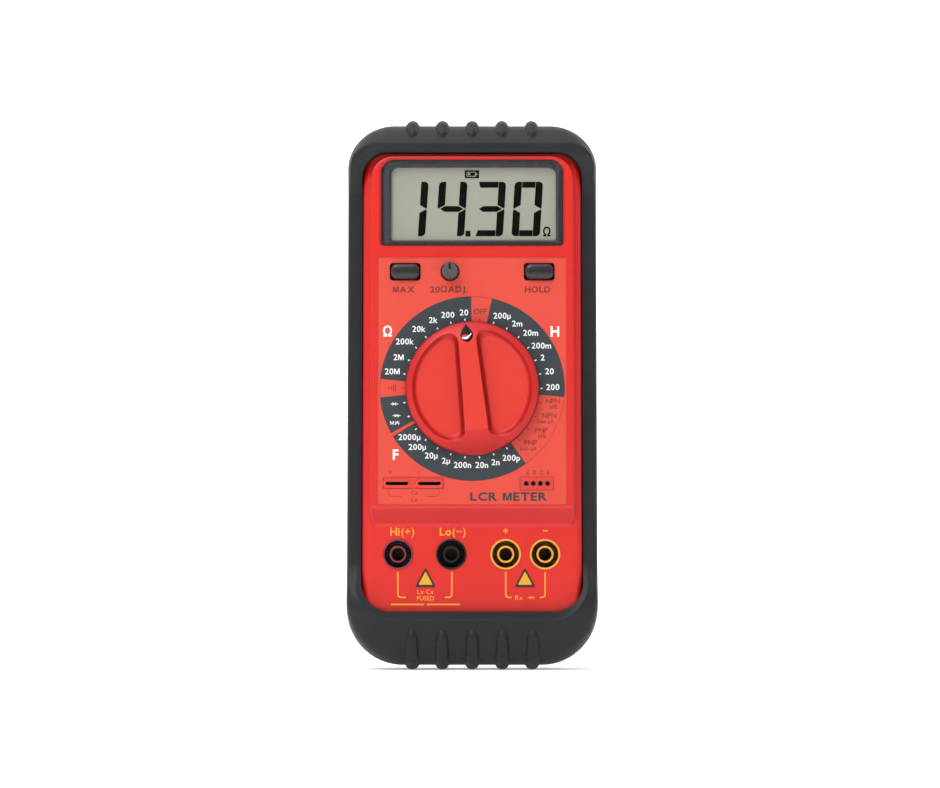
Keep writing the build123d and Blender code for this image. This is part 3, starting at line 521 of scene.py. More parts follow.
def glyph(letter, bold):
    """A letter's verts, faces and sides. A vert's third figure is 0 on its underside and 1 on its face."""
    if (letter, bold) in glyphs:
        return glyphs[letter, bold]
    if letter in "MW":
        outline = drawn_m(0.13 + bold * 3.2)
        if letter == "W":
            outline = [(x, 1 - y) for x, y in reversed(outline)]
        verts, faces = prism(outline, 0.0, 1.0)
    else:
        mesh = text_mesh(letter, bold)
        verts = [(v.co.x / CAPITAL, v.co.y / CAPITAL, 1.0 if v.co.z > 0 else 0.0) for v in mesh.vertices]
        faces = [tuple(p.vertices) for p in mesh.polygons]
        bpy.data.meshes.remove(mesh)
    across = [v[0] for v in verts]
    glyphs[letter, bold] = verts, faces, min(across), max(across)
    return glyphs[letter, bold]


def polar(radius, degrees):
    """A point round the dial's axis, at an angle clockwise from straight up."""
    a = math.radians(degrees)
    return radius * math.sin(a), DIAL_Y + radius * math.cos(a)


def ring_sector(inner, outer, start, end):
    count = math.ceil((end - start) / 1.5)
    angles = [start + (end - start) * i / count for i in range(count + 1)]
    return [polar(inner, a) for a in angles] + [polar(outer, a) for a in reversed(angles)]


def rounded(x0, x1, y0, y1, radius, steps=6):
    """A rectangle with round corners, counter-clockwise."""
    points = []
    for cx, cy, start in (
        (x1 - radius, y1 - radius, 0),
        (x0 + radius, y1 - radius, 90),
        (x0 + radius, y0 + radius, 180),
        (x1 - radius, y0 + radius, 270),
    ):
        for i in range(steps + 1):
            a = math.radians(start + 90 * i / steps)
            points.append((cx + radius * math.cos(a), cy + radius * math.sin(a)))
    return points


# ---------------------------------------------------------------- face plate print

LABELS = (  # words, angle and radius of their middle
    ("20", -6.2, 27.5), ("200", -18.3, 27.9), ("2k", -29.6, 28.3), ("20k", -41.8, 28.7),
    ("200k", -55.1, 29.5), ("2M", -67.0, 28.7), ("20M", -78.0, 29.3),
    ("200µ", 22.3, 28.3), ("2m", 34.7, 28.4), ("20m", 46.4, 29.0), ("200m", 58.2, 29.2),
    ("2", 66.3, 27.6), ("20", 77.5, 28.4), ("200", 89.1, 28.9),
    ("200p", 150.7, 28.6), ("2n", 162.5, 27.8), ("20n", 172.9, 27.7), ("200n", 187.2, 27.7),
    ("2µ", 199.9, 27.6), ("20µ", 211.3, 28.2), ("200µ", 223.1, 28.8), ("2000µ", 232.1, 28.5),
)
DARK_SECTORS = ((12.4, 95.4), (144.6, 238.8), (241.0, 264.4), (276.0, 359.4))
RED_SECTORS = ((-0.6, 12.4), (95.4, 144.6), (264.4, 276.0))
RED_LABELS = (  # words, x, y, height
    ("OFF", 2.9, 28.4, 1.9),
    ("NPN", 28.9, -3.9, 1.75), ("hFE", 29.1, -6.0, 1.35),
    ("NPN", 27.6, -9.1, 1.75), ("Iceo µA", 26.4, -11.2, 1.25),
    ("PNP", 24.8, -14.4, 1.75), ("hFE", 25.0, -16.5, 1.35),
    ("PNP", 20.9, -18.8, 1.75), ("Iceo µA", 20.1, -20.9, 1.25),
)
BUTTON_LABELS = (("MAX", -24.6), ("20ΩADJ.", -8.4), ("HOLD", 23.5))  # words, x
SLOT_LABELS = (  # words, x, y, height
    ("+", -29.3, -29.4, 1.6), ("−", -19.0, -29.4, 1.6),
    ("Cx", -20.6, -36.7, 1.45), ("Lx", -20.6, -39.2, 1.45),
)
RULE = 0.16  # width of the face plate's thin lines


def diode_symbol(sheet, x, y, size):
    """A diode: a triangle against a bar, on a line."""
    sheet.shape([(x - size / 2, y - size * 0.42), (x + size * 0.3, y), (x - size / 2, y + size * 0.42)])
    sheet.shape(rounded(x + size * 0.3, x + size * 0.5, y - size * 0.42, y + size * 0.42, 0.02, 1))
    sheet.line([(x - size * 1.05, y), (x - size / 2, y)], size * 0.16)
    sheet.line([(x + size * 0.5, y), (x + size * 1.05, y)], size * 0.16)


def beeper_symbol(sheet, x, y):
    """A dot with sound arcs beside it."""
    sheet.shape(rounded(x - 1.9, x - 1.3, y - 0.3, y + 0.3, 0.28))
    for radius in (1.0, 1.7, 2.4):
        arc = []
        for i in range(9):
            a = math.radians(-38 + 76 * i / 8)
            arc.append((x - 1.6 + radius * math.cos(a), y + radius * math.sin(a)))
        sheet.line(arc, 0.28)


def face_print():
    slate = Print("scale_ring", "slate_ink", "printed_plate", DECK_Z)
    white = Print("scale_figures", "white_ink", "printed_plate", DECK_Z + PRINT_THICK)
    lines = Print("plate_lines", "line_ink", "printed_plate", DECK_Z)
    maroon = Print("plate_words", "maroon_ink", "printed_plate", DECK_Z)

    for start, end in DARK_SECTORS:
        slate.shape(ring_sector(SCALE_INNER, SCALE_OUTER, start, end))
    for words, degrees, radius in LABELS:
        white.text(words, *polar(radius, degrees), 2.05)
    for k in range(STEPS):
        degrees = STEP_DEG * (k + 0.5)
        tick = [polar(24.5, degrees), polar(25.25, degrees)]
        dark = any(start < degrees < end for start, end in DARK_SECTORS)
        (white if dark else maroon).line(tick, 0.42 if dark else 0.25)

    for start, end in RED_SECTORS:
        arc = [polar(SCALE_OUTER - 0.1, start + (end - start) * i / 24) for i in range(25)]
        lines.line(arc, RULE)
    for words, x, y, height in RED_LABELS:
        maroon.text(words, x, y, height, bold=0.008)
    beeper_symbol(maroon, -28.2, 0.9)
    diode_symbol(white, -27.9, -4.9, 1.35)
    diode_symbol(white, -27.1, -9.1, 1.35)
    white.text("M.W", -27.8, -11.7, 1.35, bold=-0.01)

    white.text("Ω", -30.4, 21.2, 3.5, squeeze=0.9, bold=0.02)
    white.text("H", 29.7, 21.2, 3.5, squeeze=0.95, bold=0.025)
    white.text("F", -27.4, -23.1, 3.5, squeeze=0.95, bold=0.025)

    for words, x in BUTTON_LABELS:
        maroon.text(words, x, 36.4, 2.1, squeeze=1.04, bold=0.03, spacing=1.05)

    lines.around(rounded(-33.7, 33.7, -40.9, 47.8, 0.8), RULE)
    lines.around(rounded(-31.7, -10.1, -35.35, -31.05, 0.3), 0.14)
    lines.around(rounded(17.0, 29.2, -36.0, -31.0, 0.3), 0.12)
    for outer, bend, inner in ((-29.9, -29.1, -25.2), (-11.8, -12.6, -16.4)):
        lines.line([(outer, -35.5), (outer, -37.2), (bend, -38.0), (inner, -38.0)], 0.22)
    for words, x, y, height in SLOT_LABELS:
        maroon.text(words, x, y, height, bold=0.0)
    for i, letter in enumerate("EBCE"):
        maroon.text(letter, 19.9 + 2.46 * i, -29.5, 1.6, bold=0.0)
    slate.text("LCR METER", 13.0, -38.1, 2.75, squeeze=1.2, bold=0.035, spacing=1.1)

    lips = Print("slot_lips", "socket_red", "socket_red", DECK_Z, 0.3)
    for x in SLOTS_X:
        lips.frame(x, SOCKETS_Y, SLOT_LIP, SLOT_OPENING)
    holes = Print("lead_hole_rims", "black", "socket_red", DECK_Z)
    for i in range(4):
        holes.ring(LEADS_X + LEAD_PITCH * (i - 1.5), SOCKETS_Y, LEAD_RIM, LEAD_HOLE)
    for sheet in (slate, white, lines, maroon, lips, holes):
        sheet.finish()


# ---------------------------------------------------------------- jack print

MARK_HALF_WIDTH, MARK_HALF_HEIGHT = 3.85, 3.6
MARK_FILL = 0.66  # size of a warning mark's fill, as a share of the mark
MARK_SINK = 0.9  # how far under the mark's middle the fill shrinks towards
MARK_ROUNDS = (0.9, 0.5)  # how far from a corner its rounding starts, on the border and on the fill
JACK_WORDS = (  # words, x, y, height, boldness
    ("Hi", -27.7, -50.5, 2.65, 0.02), ("(+)", -23.1, -50.5, 2.65, 0.005),
    ("Lo", -9.6, -50.5, 2.65, 0.02), ("(−)", -4.7, -50.5, 2.65, 0.005),
    ("+", 12.0, -50.2, 2.2, 0.03), ("−", 26.2, -50.2, 2.2, 0.03),
    ("Lx Cx", -16.7, -72.0, 1.5, 0.005), ("FUSED", -16.7, -74.3, 1.5, 0.005),
    ("Rx", 16.7, -74.1, 1.6, 0.005),
)
JACK_LINES = ((-26.6, -23.7), (-7.3, -9.7), (12.0, 14.1), (26.1, 24.2))  # x at the jack and at the foot


def softened(points, reach):
    """An outline with its corners rounded off."""
    outline = []
    for i, here in enumerate(points):
        before, after = points[i - 1], points[(i + 1) % len(points)]
        a = here + (before - here).normalized() * reach
        b = here + (after - here).normalized() * reach
        for k in range(6):
            t = k / 5
            outline.append(tuple(a * (1 - t) ** 2 + here * 2 * t * (1 - t) + b * t**2))
    return outline


def triangle_mark(dark, light, x, y):
    """A plain triangle with a dark border and nothing in it."""
    for sheet, share, reach in ((dark, 1.0, MARK_ROUNDS[0]), (light, MARK_FILL, MARK_ROUNDS[1])):
        points = []
        for side, end in ((1, -1), (0, 1), (-1, -1)):
            over_sink = (end * MARK_HALF_HEIGHT + MARK_SINK) * share
            points.append(Vector((x + side * MARK_HALF_WIDTH * share, y - MARK_SINK + over_sink)))
        sheet.shape(softened(points, reach))


def jack_print():
    yellow = Print("jack_words", "yellow_ink", "red_plastic", JACK_DECK_Z)
    dark = Print("mark_borders", "black_ink", "red_plastic", JACK_DECK_Z)
    lemon = Print("mark_fills", "lemon_ink", "red_plastic", JACK_DECK_Z + PRINT_THICK)

    for words, x, y, height, bold in JACK_WORDS:
        yellow.text(words, x, y, height, bold=bold)
    for x, foot in JACK_LINES:
        turn = 0.9 if foot > x else -0.9
        bend = [(x, -73.1), (x + turn * 0.35, -73.75), (x + turn, -74.0)]
        yellow.line([(x, -64.9)] + bend + [(foot, -74.0)], 0.5)
    for x0, x1 in ((-29.0, -17.2), (-16.2, -4.4)):
        yellow.line([(x0, -76.5), (x1, -76.5)], 0.55)
    diode_symbol(yellow, 21.2, -74.1, 1.3)
    for x in (-16.7, 18.9):
        triangle_mark(dark, lemon, x, -66.8)
    for sheet in (yellow, dark, lemon):
        sheet.finish()


# ---------------------------------------------------------------- display

LCD_Z, LCD_THICK = 30.6, 0.02
DIGIT_HEIGHT, DIGIT_WIDTH, STROKE, SLANT = 19.9, 10.3, 2.65, 0.062
DIGITS, DIGITS_Y = (("1", -27.3), ("4", -13.2), ("3", 0.8), ("0", 14.2)), 56.3  # figure, left; their foot
SEGMENTS = {"1": "bc", "4": "fgbc", "3": "abgcd", "0": "abcdef"}
WINDOW_EDGE = (-32.7, 32.7, 52.35, 83.55)  # left, right, low, top


def segment_outlines(left, low, open_left):
    """The seven strokes of a slanted digit, each with pointed ends, by letter."""
    w, h, s, gap = DIGIT_WIDTH, DIGIT_HEIGHT, STROKE, 0.1
    mid, half, flat = h / 2, s / 2, s * 0.83
    end = w - s - gap
    start, cut = (0.4, 1.1) if open_left else (s + gap, s + gap)
    shapes = {
        "a": [(start, h), (cut, h - flat), (end, h - flat), (end, h)],
        "d": [(start, 0), (end, 0), (end, flat), (cut, flat)],
        "g": [
            (0.9, mid), (s, mid + half * 0.8), (w - s, mid + half * 0.8), (w - 0.9, mid),
            (w - s, mid - half * 0.8), (s, mid - half * 0.8),
        ],
    }
    upright = [
        (w, h - 1.3), (w - 0.3, h - 0.5), (w - 1.1, h - 0.02), (w - s + 0.15, h), (w - s, h - 0.2),
        (w - s, mid + half + gap), (w - 0.2, mid + gap * 0.6), (w, mid + 0.6),
    ]
    shapes["b"] = upright
    shapes["c"] = [(x, h - y) for x, y in reversed(upright)]
    shapes["f"] = [(w - x, y) for x, y in reversed(upright)]
    shapes["e"] = [(w - x, h - y) for x, y in upright]
    return {
        letter: [(left + x + SLANT * y, low + y) for x, y in outline] for letter, outline in shapes.items()
    }


def display():
    """The reading, its unit and a battery sign, a black line of painted shade round the window's edge, and
    the adjuster's mark.
    """
    dark = Print("lcd_figures", "lcd_dark", "lcd_glass", LCD_Z, LCD_THICK)
    for figure, left in DIGITS:
        outlines = segment_outlines(left, DIGITS_Y, open_left=figure == "3")
        for letter in SEGMENTS[figure]:
            dark.shape(outlines[letter])
    dark.shape(rounded(-2.5, -0.6, 56.2, 58.3, 0.15, 2))
    dark.text("Ω", 27.0, 57.9, 3.1, squeeze=0.85, bold=0.03)
    dark.shape(rounded(-2.7, 2.5, 77.5, 80.4, 0.1, 2))
    light = Print("lcd_sign", "lcd", "lcd_glass", LCD_Z + LCD_THICK, LCD_THICK)
    light.around([(-1.9, 78.2), (-1.9, 79.7), (1.2, 79.7), (1.2, 78.2)], 0.22)
    light.shape(rounded(1.3, 1.8, 78.6, 79.3, 0.1, 1))
    light.shape(rounded(-1.5, -0.7, 78.6, 79.3, 0.05, 1))
    # The black line round the window's opening is painted shade, where the opening's rim falls dark.
    edge = Print("window_edge", "black", "red_plastic", DECK_Z - 0.95, 0.25)
    outline = rounded(*WINDOW_EDGE, 1.6)
    edge.line(outline + outline[:2], 0.5)
    mark = Print("knob_mark", "pointer_black", "black_plastic", KNOB_TOP_Z, 0.06)
    mark.line([(KNOB_X, BUTTON_Y + 0.4), (KNOB_X - 0.25, BUTTON_Y + 2.4)], 0.6)
    for sheet in (dark, light, edge):
        sheet.finish()
    mark.finish("adjuster")


# ---------------------------------------------------------------- dial


CROWN_R, SHOULDER_R = 23.1, 14.5  # where the crown ends, and where it starts to fall away
FLOOR_Z = 38.2  # the recesses' floor, at the axis
BAR_HALF, BAR_FLARE, BAR_TOP_Y = 3.15, 0.031, 17.0  # half width by the pointer, its growth down the bar
TAIL_Y, TAIL_DROP = -15.0, 2.6  # where the bar's tail starts to fall away, and how far it falls
RECESS_R, RECESS_FOOT_Y = 21.6, -19.4  # the recesses' outer wall and lower wall
RIM = ((23.5, 0.28), (23.8, 0.75), (23.95, 1.3))  # radius, and how far below the crown's edge
FOOT = ((24.0, 0.5), (24.0, 0.15), (23.8, 0.0), (1.0, 0.0))  # radius, and height over the foot
# The pointer's outlines upwards: centre, radius, tip, and height over the dial
DROP_LEVELS = ((18.6, 2.45, 22.8, -1.4), (18.6, 2.45, 22.8, 0.02), (18.6, 2.1, 22.1, 0.12))


def blend_max(a, b, radius):
    """The larger of two distances, rounded where they are nearly equal."""
    h = max(radius - abs(a - b), 0.0) / radius
    return max(a, b) + h * h * radius * 0.25


def dial_height(x, y):
    """Height of the dial's top over a point, with the pointer straight up."""
    r = math.hypot(x, y)
    crown = DIAL_TOP_Z - 0.15 * (r / 15.5) ** 2
    if r > SHOULDER_R:
        t = (r - SHOULDER_R) / (23.3 - SHOULDER_R)
        crown = DIAL_TOP_Z - 0.13 - 3.0 * t**2.1
    # the bar's tail is a facet that falls away
    tail = max(0.0, min(1.0, (TAIL_Y - y) / 9.0))
    crown -= TAIL_DROP * tail * (1 - smoothstep(8.0, 12.0, abs(x)))
    bar_edge = BAR_HALF + (BAR_TOP_Y - y) * BAR_FLARE - abs(x)
    inside = -blend_max(blend_max(bar_edge, r - RECESS_R, 6.0), RECESS_FOOT_Y - y, 4.0)
    t = min(1.0, max(0.0, inside) / WALL_RUN)
    t = t * t / (t + 0.05) * 1.05
    wall = 1 - (1 - t) ** 2
    floor = FLOOR_Z + 0.25 * (r / 20.0) ** 2
    return crown * (1 - wall) + min(floor, crown) * wall


def dial_cap():
    """The dial's moulded top, as one closed skin."""
    rings, around = 112, 440
    turns = [2 * math.pi * k / around for k in range(around)]
    verts = [(0.0, 0.0, dial_height(0, 0))]
    for i in range(1, rings + 1):
        r = CROWN_R * (i / rings) ** 0.92
        for a in turns:
            x, y = r * math.sin(a), r * math.cos(a)
            verts.append((x, y, dial_height(x, y)))
    for r, drop in RIM:
        for a in turns:
            z = dial_height(CROWN_R * math.sin(a), CROWN_R * math.cos(a)) - drop
            verts.append((r * math.sin(a), r * math.cos(a), max(z, DIAL_FOOT_Z + 0.6)))
    for r, lift in FOOT:
        verts += [(r * math.sin(a), r * math.cos(a), DIAL_FOOT_Z + lift) for a in turns]
    verts.append((0.0, 0.0, DIAL_FOOT_Z))
    total = rings + len(RIM) + len(FOOT)
    faces = bands(around, total, first=1)
    last = 1 + (total - 1) * around
    for k in range(around):
        n = (k + 1) % around
        faces += [(0, 1 + n, 1 + k), (last + k, last + n, len(verts) - 1)]
    placed = [turned(x, y, z) for x, y, z in verts]
    return piece("dial_cap", placed, faces, "dial", "dial_red", crease_deg=50)


def turned(x, y, z):
    """From the dial with its pointer straight up to the range it rests at."""
    a = math.radians(DIAL_REST_DEG)
    return x * math.cos(a) - y * math.sin(a), DIAL_Y + x * math.sin(a) + y * math.cos(a), z


def drop_outline(centre, radius, tip):
    """A drop with a round foot and a tip that points outwards."""
    steps = 40
    half = math.acos(radius / (tip - centre))
    points = [(0.0, tip)]
    for i in range(steps + 1):
        a = math.pi / 2 + half + (2 * math.pi - 2 * half) * i / steps
        points.append((radius * math.cos(a), centre + radius * math.sin(a)))
    return points


def drop_pointer():
    """The black pointer let into the bar, with a white crescent across it that is a painted highlight."""
    verts = []
    for centre, radius, tip, lift in DROP_LEVELS:
        outline = drop_outline(centre, radius, tip)
        for x, y in outline:
            verts.append(turned(x, y, dial_height(0, min(y, 21.0)) + lift - 0.05 * abs(x)))
    count = len(outline)
    faces = bands(count, len(DROP_LEVELS))
    faces.append(tuple(range(len(verts) - count, len(verts))))
    faces.append(tuple(reversed(range(count))))
    pointer = piece("pointer_drop", verts, faces, "dial", "pointer_black")

    # A white crescent over the pointer: a painted highlight, the glint on its gloss.
    stroke = []
    for i in range(13):
        t = i / 12
        x = -1.8 + 3.5 * t
        y = 17.9 + 1.25 * t - 0.85 * math.sin(math.pi * t)
        stroke.append((x, y, 0.8 * math.sin(math.pi * min(1.0, 0.12 + 0.8 * t)) ** 0.7))
    upper = [(x, y + w / 2) for x, y, w in stroke]
    lower = [(x, y - w / 2) for x, y, w in reversed(stroke)]
    flat, flat_faces = prism(lower[::-1] + upper[::-1], 0.0, 0.05)
    placed = [turned(x, y, dial_height(0, y) + 0.1 + z) for x, y, z in flat]
    piece("pointer_highlight", placed, flat_faces, "dial", "white_ink")
    return pointer


# ---------------------------------------------------------------- buttons

PILLOW_RUN, PILLOW_CURVE, PILLOW_RISE = 1.5, 1.45, 1.7  # inwards, up the curve, and up to the top


def button_cap(name, x, body, replaced):
    """A glossy pillow-shaped cap with round ends."""
    width, height = BUTTON_SIZE
    side_top = BUTTON_TOP_Z - PILLOW_RISE
    levels = [(0.0, BUTTON_FOOT_Z), (0.0, side_top)]
    for k in range(1, 9):
        a = math.pi / 2 * k / 9
        levels.append((PILLOW_RUN * (1 - math.cos(a)), side_top + PILLOW_CURVE * math.sin(a)))
    verts = []
    for inset, z in levels:
        corner = max(0.4, 2.1 - inset * 0.6)
        half_w, half_h = width / 2 - inset, height / 2 - inset
        outline = rounded(x - half_w, x + half_w, BUTTON_Y - half_h, BUTTON_Y + half_h, corner)
        verts += [(px, py, z) for px, py in outline]
    count = len(outline)
    faces = bands(count, len(levels))
    faces.append(tuple(reversed(range(count))))
    last = len(verts) - count
    verts.append((x, BUTTON_Y, BUTTON_TOP_Z))
    for i in range(count):
        faces.append((last + i, last + (i + 1) % count, len(verts) - 1))
    cap = piece(name, verts, faces, body, "button_black", crease_deg=50)
    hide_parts(replaced)


# ---------------------------------------------------------------- holster

OUTER = {"half_width": 45.1, "low": -98.3, "top": 97.9}
LOW_CORNER, TOP_CORNER = (20.0, 10.5), (17.0, 9.5)  # outline, lip's inner edge
RAIL_WIDTH, TOP_SLOPE = 5.4, 8.3
TOP_LIP, LOW_LIP = (71.0, 86.0), (-60.0, -79.0)  # where the rails rise to the lip at an end, from and to
BACK_WINDOW, POCKET_Z = (-26.0, 26.0, -54.0, 46.5, 2.5), 3.0  # the last is its corners' radius
SIDE_LOW, SIDE_LENGTH, SIDE_FINE = -77.5, 158.0, (-58.0, 69.0)  # sides have closer verts past these
FINE_STEP, COARSE_STEP, CORNER_STEPS, END_STEPS = 0.7, 5.0, 20, 200
BEAD_PITCH, BEAD_COUNT = 10.8, 5
BEAD_RADIUS, BEAD_FOOT_Z = 2.3, 4.0
BEAD_RINGS = (4, -9)  # the rings that beads are raised on, from the first and before the last
BEADS = {  # way out, height, half width of the stem, then where the tip, the stem and the full width start
    "top": (1, 1.9, 1.8, 92.2, 94.3, 96.2),
    "low": (-1, 1.6, 2.2, 85.9, 90.5, 94.0),
}

# Each line: how far inside the outline and how high, on the rails, over the top and over the lower end
PROFILE = (
    ((2.5, 0.0), (2.5, 0.0), (2.5, 0.0)),
    ((1.25, 0.34), (1.25, 0.34), (1.25, 0.34)),
    ((0.34, 1.25), (0.34, 1.25), (0.34, 1.25)),
    ((0.0, 2.5), (0.0, 2.5), (0.0, 2.5)),
    ((0.0, 20.0), (0.0, 21.0), (0.0, 21.0)),
    ((0.0, 22.0), (0.08, 23.5), (0.08, 23.5)),
    ((0.0, 23.5), (0.35, 25.6), (0.35, 25.6)),
    ((0.0, 25.0), (0.95, 27.8), (1.0, 27.8)),
    ((0.0, 26.2), (1.9, 29.7), (2.1, 29.8)),
    ((0.12, 27.0), (3.1, 31.4), (3.9, 31.5)),
    ((0.42, 27.6), (4.8, 33.1), (6.3, 32.6)),
    ((0.7, 27.85), (6.5, 34.6), (9.6, 33.4)),
    ((0.9, 27.94), (7.9, 35.7), (11.6, 33.8)),
    ((1.2, 28.0), (8.3, 35.95), (12.6, 34.0)),
    ((1.7, 28.0), (8.7, 36.0), (13.8, 34.22)),
    ((2.9, 28.0), (9.4, 36.0), (15.5, 34.45)),
    ((3.3, 28.0), (9.8, 36.0), (15.9, 34.6)),
    ((3.5, 28.0), (10.0, 36.0), (16.15, 34.85)),
    ((3.8, 28.0), (10.4, 36.0), (16.55, 34.66)),
    ((4.7, 28.0), (11.0, 36.0), (18.6, 34.6)),
    ((5.25, 27.88), (11.55, 35.87), (19.15, 34.45)),
    ((5.4, 27.6), (11.7, 35.5), (19.3, 34.1)),
    ((5.4, 27.4), (11.7, 31.2), (19.3, 31.2)),
    ((5.4, 27.2), (6.2, 31.2), (6.6, 31.2)),
    ((5.4, 3.0), (6.2, 3.0), (6.6, 3.0)),
)

# How many rings of verts run from a line of the profile to the next, where more than one
RING_STEPS = {3: 12, 4: 3, 5: 3, 6: 3, 7: 3, 8: 4, 9: 5, 10: 5, 11: 4, 12: 2, 13: 2, 14: 3}


def refine(profile, steps):
    """Adds rings between the lines of the profile along the end walls and slopes."""
    fine = []
    for i, (here, after) in enumerate(zip(profile, profile[1:])):
        count = steps.get(i, 1)
        for t in (k / count for k in range(count)):
            fine.append([[a + (b - a) * t for a, b in zip(p, q)] for p, q in zip(here, after)])
    fine.append(profile[-1])
    return fine


def perimeter():
    """Places round the outline from the lower right, counter-clockwise: a segment and the share along it."""
    side = [0.0]
    while side[-1] < 1.0:
        y = SIDE_LOW + SIDE_LENGTH * side[-1]
        step = COARSE_STEP if SIDE_FINE[0] <= y <= SIDE_FINE[1] else FINE_STEP
        side.append(min(1.0, side[-1] + step / SIDE_LENGTH))

    def along(segment, steps):
        return [(segment, i / steps) for i in range(steps)]

    places = [("right", t) for t in side[:-1]] + along("top_right", CORNER_STEPS)
    places += along("top", END_STEPS) + along("top_left", CORNER_STEPS)
    places += [("left", t) for t in reversed(side[1:])] + along("low_left", CORNER_STEPS)
    return places + along("low", END_STEPS) + along("low_right", CORNER_STEPS)


def ring_point(place, rail, top, low):
    """One point of one ring of the holster, in face coordinates."""
    segment, t = place
    share = min(1.0, rail[0] / RAIL_WIDTH)
    over_top = min(1.0, top[0] / TOP_SLOPE)
    r_top = TOP_CORNER[0] + (TOP_CORNER[1] - TOP_CORNER[0]) * over_top
    r_low = LOW_CORNER[0] + (LOW_CORNER[1] - LOW_CORNER[0]) * share
    x1 = OUTER["half_width"] - rail[0]
    y1 = OUTER["top"] - top[0]
    y0 = OUTER["low"] + low[0]
    if segment in ("right", "left"):
        x = x1 if segment == "right" else -x1
        y = y0 + r_low + (y1 - r_top - y0 - r_low) * t
    elif segment in ("top", "low"):
        reach = x1 - (r_top if segment == "top" else r_low)
        x = reach - 2 * reach * t if segment == "top" else -reach + 2 * reach * t
        y = y1 if segment == "top" else y0
    else:
        turn = {"top_right": 0, "top_left": 90, "low_left": 180, "low_right": 270}[segment]
        a = math.radians(turn + 90 * t)
        radius = r_top if segment.startswith("top") else r_low
        cx = (x1 - radius) * (1 if segment.endswith("right") else -1)
        cy = y1 - radius if segment.startswith("top") else y0 + radius
        x, y = cx + radius * math.cos(a), cy + radius * math.sin(a)
    up = smoothstep(*TOP_LIP, y)
    down = smoothstep(*LOW_LIP, y)
    z = rail[1] + (top[1] - rail[1]) * up + (low[1] - rail[1]) * down
    return x, y, z


def holster_skin():
    """The boot as one closed skin: outside, lips, pocket, and a back with the stand's window."""
    rings = refine(PROFILE, RING_STEPS)
    places = perimeter()
    verts = []
    for rail, top, low in rings:
        verts += [ring_point(place, rail, top, low) for place in places]
    count = len(places)
    raise_beads(verts, len(rings), places)
    faces = bands(count, len(rings))
    # back plane and pocket floor, each with the window in it
    window = rounded(*BACK_WINDOW, 4)
    low_ring = len(verts)
    for ring, z in ((0, 0.0), (len(rings) - 1, POCKET_Z)):
        start = len(verts)
        outer = [Vector((x, y, 0)) for x, y, _ in verts[ring * count:(ring + 1) * count]]
        inner = [Vector((x, y, 0)) for x, y in window]
        verts += [(x, y, z) for x, y in window]
        for triangle in tessellate_polygon([outer, inner]):
            faces.append(tuple(ring * count + i if i < count else start + i - count for i in triangle))
    faces += bands(len(window), 2, first=low_ring)
    boot = piece("holster_boot", verts, faces, "meter", "rubber", crease_deg=38)
    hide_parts("holster")


def raise_beads(verts, ring_count, places):
    """Pushes the end walls and slopes out into beads that are full at the crest and taper to the front."""
    count = len(places)
    for i, (segment, _) in enumerate(places):
        if segment not in BEADS:
            continue
        sign, rise, stem, tip, shaft, full = BEADS[segment]
        path = verts[i::count]
        for j in range(BEAD_RINGS[0], ring_count + BEAD_RINGS[1]):
            x, y, z = path[j]
            nearest = max(-(BEAD_COUNT // 2), min(BEAD_COUNT // 2, round(x / BEAD_PITCH)))
            across = abs(x - nearest * BEAD_PITCH)
            from_shaft = min(1.0, max(0.0, (shaft - abs(y)) / (shaft - tip)))
            widening = (BEAD_RADIUS - stem) * smoothstep(shaft, full, abs(y))
            width = stem * math.sqrt(1 - from_shaft**2) + widening
            if across >= width:
                continue
            past_foot = max(0.0, (BEAD_FOOT_Z - z) / BEAD_RADIUS)
            swell = math.sqrt(max(0.0, 1 - (across / width) ** 2 - past_foot**2))
            before, after = path[j - 1], path[j + 1]
            dy, dz = abs(after[1] - before[1]), abs(after[2] - before[2])
            out = rise * swell * width / BEAD_RADIUS / math.hypot(dy, dz)
            verts[j * count + i] = (x, y + sign * dz * out, z + dy * out)


# ---------------------------------------------------------------- surroundings

VIEW_DISTANCE = 0.9
VIEW_TILT_DEG = 4.5
VIEW_X, VIEW_Y = -0.79, -1.33  # the place on the face in the middle of the picture
VIEW_WIDTH = 336.9  # millimetres of the face plane across the picture
SENSOR_MM = 36.0
LAMPS = (  # name, place, size, watts
    ("key", (-0.55, -1.0, 1.2), (0.9, 0.7), 15.0),
    ("top", (-0.1, -0.15, 1.4), (1.3, 1.0), 3.5),
)
TENT_Y, TENT_Z = 0.8, 0.6  # the way from the tent's dark side to its bright side
TENT_EDGES = (-0.85, 0.35)  # how far along that way the tent starts and ends turning bright
TENT_LIGHT = (0.08, 1.08)
ROOM, WALL_Y = 6, 3  # metres to the floor's edges and up the backdrop, and back to it
FLOOR_GLOW, WALL_GLOW = 0.33, 0.8
PAPER_WHITE = 0.9


def aimed(name, data, place, target):
    """Puts a lamp or a camera into the scene, facing a point."""
    holder = bpy.data.objects.new(name, data)
    bpy.context.scene.collection.objects.link(holder)
    holder.location = place
    holder.rotation_euler = (Vector(target) - Vector(place)).to_track_quat("-Z", "Y").to_euler()
    return holder


def camera():
    """A long lens a little below the middle of the meter, looking slightly up at its face."""
    lens = bpy.data.cameras.new("camera")
    lens.sensor_width = SENSOR_MM
    lens.lens = SENSOR_MM * VIEW_DISTANCE / (VIEW_WIDTH * MM)
    lens.clip_end = 50
    target = at(VIEW_X, VIEW_Y, DECK_Z)
    tilt = math.radians(VIEW_TILT_DEG)
    place = target + VIEW_DISTANCE * Vector((0, -math.cos(tilt), -math.sin(tilt)))
    bpy.context.scene.camera = aimed("camera", lens, place, target)


def area_light(name, place, size, watts):
    """A rectangular lamp that faces the middle of the meter."""
    lamp = bpy.data.lights.new(name, "AREA")
    lamp.shape = "RECTANGLE"
    lamp.size, lamp.size_y = size
    lamp.energy = watts
    aimed(name, lamp, place, (0, 0, MIDDLE))


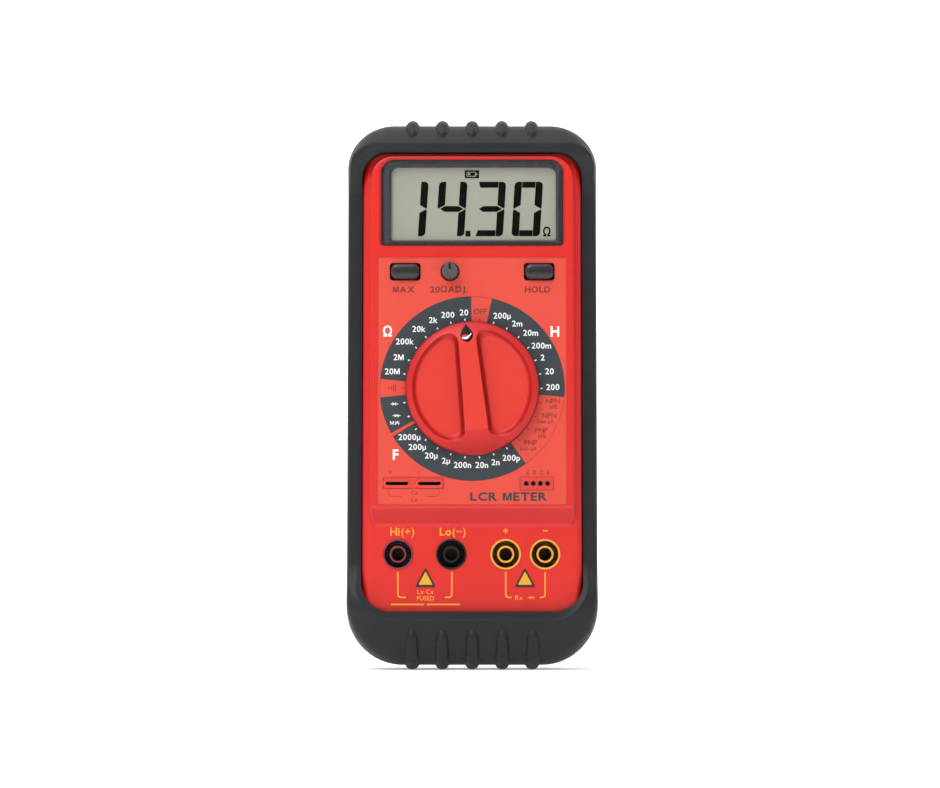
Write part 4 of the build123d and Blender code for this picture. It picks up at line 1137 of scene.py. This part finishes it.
def tent():
    """A soft tent that is bright behind and overhead, and open, so dark, in front of the meter and below."""
    world = bpy.data.worlds.new("tent")
    world.use_nodes = True
    tree = world.node_tree
    way = axes(tree, "Generated")
    along = maths(tree, "MULTIPLY_ADD", way["Y"], TENT_Y, maths(tree, "MULTIPLY", way["Z"], TENT_Z))
    light = remapped(tree, along, TENT_LIGHT, TENT_EDGES)
    light.node.interpolation_type = "SMOOTHSTEP"
    background = tree.nodes["Background"]
    background.inputs["Color"].default_value = (1, 1, 1, 1)
    tree.links.new(light, background.inputs["Strength"])
    bpy.context.scene.world = world


def studio():
    tent()
    for lamp in LAMPS:
        area_light(*lamp)
    floor = paper_sheet("floor", -ROOM, ROOM, 0, FLOOR_GLOW)
    wall = paper_sheet("backdrop", WALL_Y, WALL_Y, ROOM, WALL_GLOW)
    bpy.context.scene.view_settings.view_transform = "Standard"


def paper_sheet(name, front, back, top, glow):
    """A sheet of paper from the ground at its front edge to a height at its back edge."""
    mesh = bpy.data.meshes.new(name)
    corners = [(-ROOM, front, 0), (ROOM, front, 0), (ROOM, back, top), (-ROOM, back, top)]
    mesh.from_pydata(corners, [], [(0, 1, 2, 3)])
    paper(name + "_paper", glow)
    mesh.materials.append(M[name + "_paper"])
    made = bpy.data.objects.new(name, mesh)
    bpy.context.scene.collection.objects.link(made)
    return made


def paper(name, glow):
    """Matt white paper, lit a little from behind."""
    tree, shader = new_material(name)
    pale, grey = [PAPER_WHITE] * 3, [PAPER_WHITE * 0.96] * 3
    tree.links.new(ramp(tree, noise(tree, 3.0), grey, pale), shader.inputs["Base Color"])
    shader.inputs["Roughness"].default_value = 0.9
    shader.inputs["Emission Color"].default_value = (1, 1, 1, 1)
    shader.inputs["Emission Strength"].default_value = glow
    bump(tree, shader, noise(tree, 300.0), 0.00002)


def main():
    dress_nodes()
    face_print()
    jack_print()
    display()
    cap = dial_cap()
    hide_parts("range_dial")
    pointer = drop_pointer()
    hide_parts("dial_pointer")
    button_cap("max_cap", -BUTTON_X, "max_key", "max_button")
    button_cap("hold_cap", BUTTON_X, "hold_key", "hold_button")
    holster_skin()
    camera()
    studio()


main()
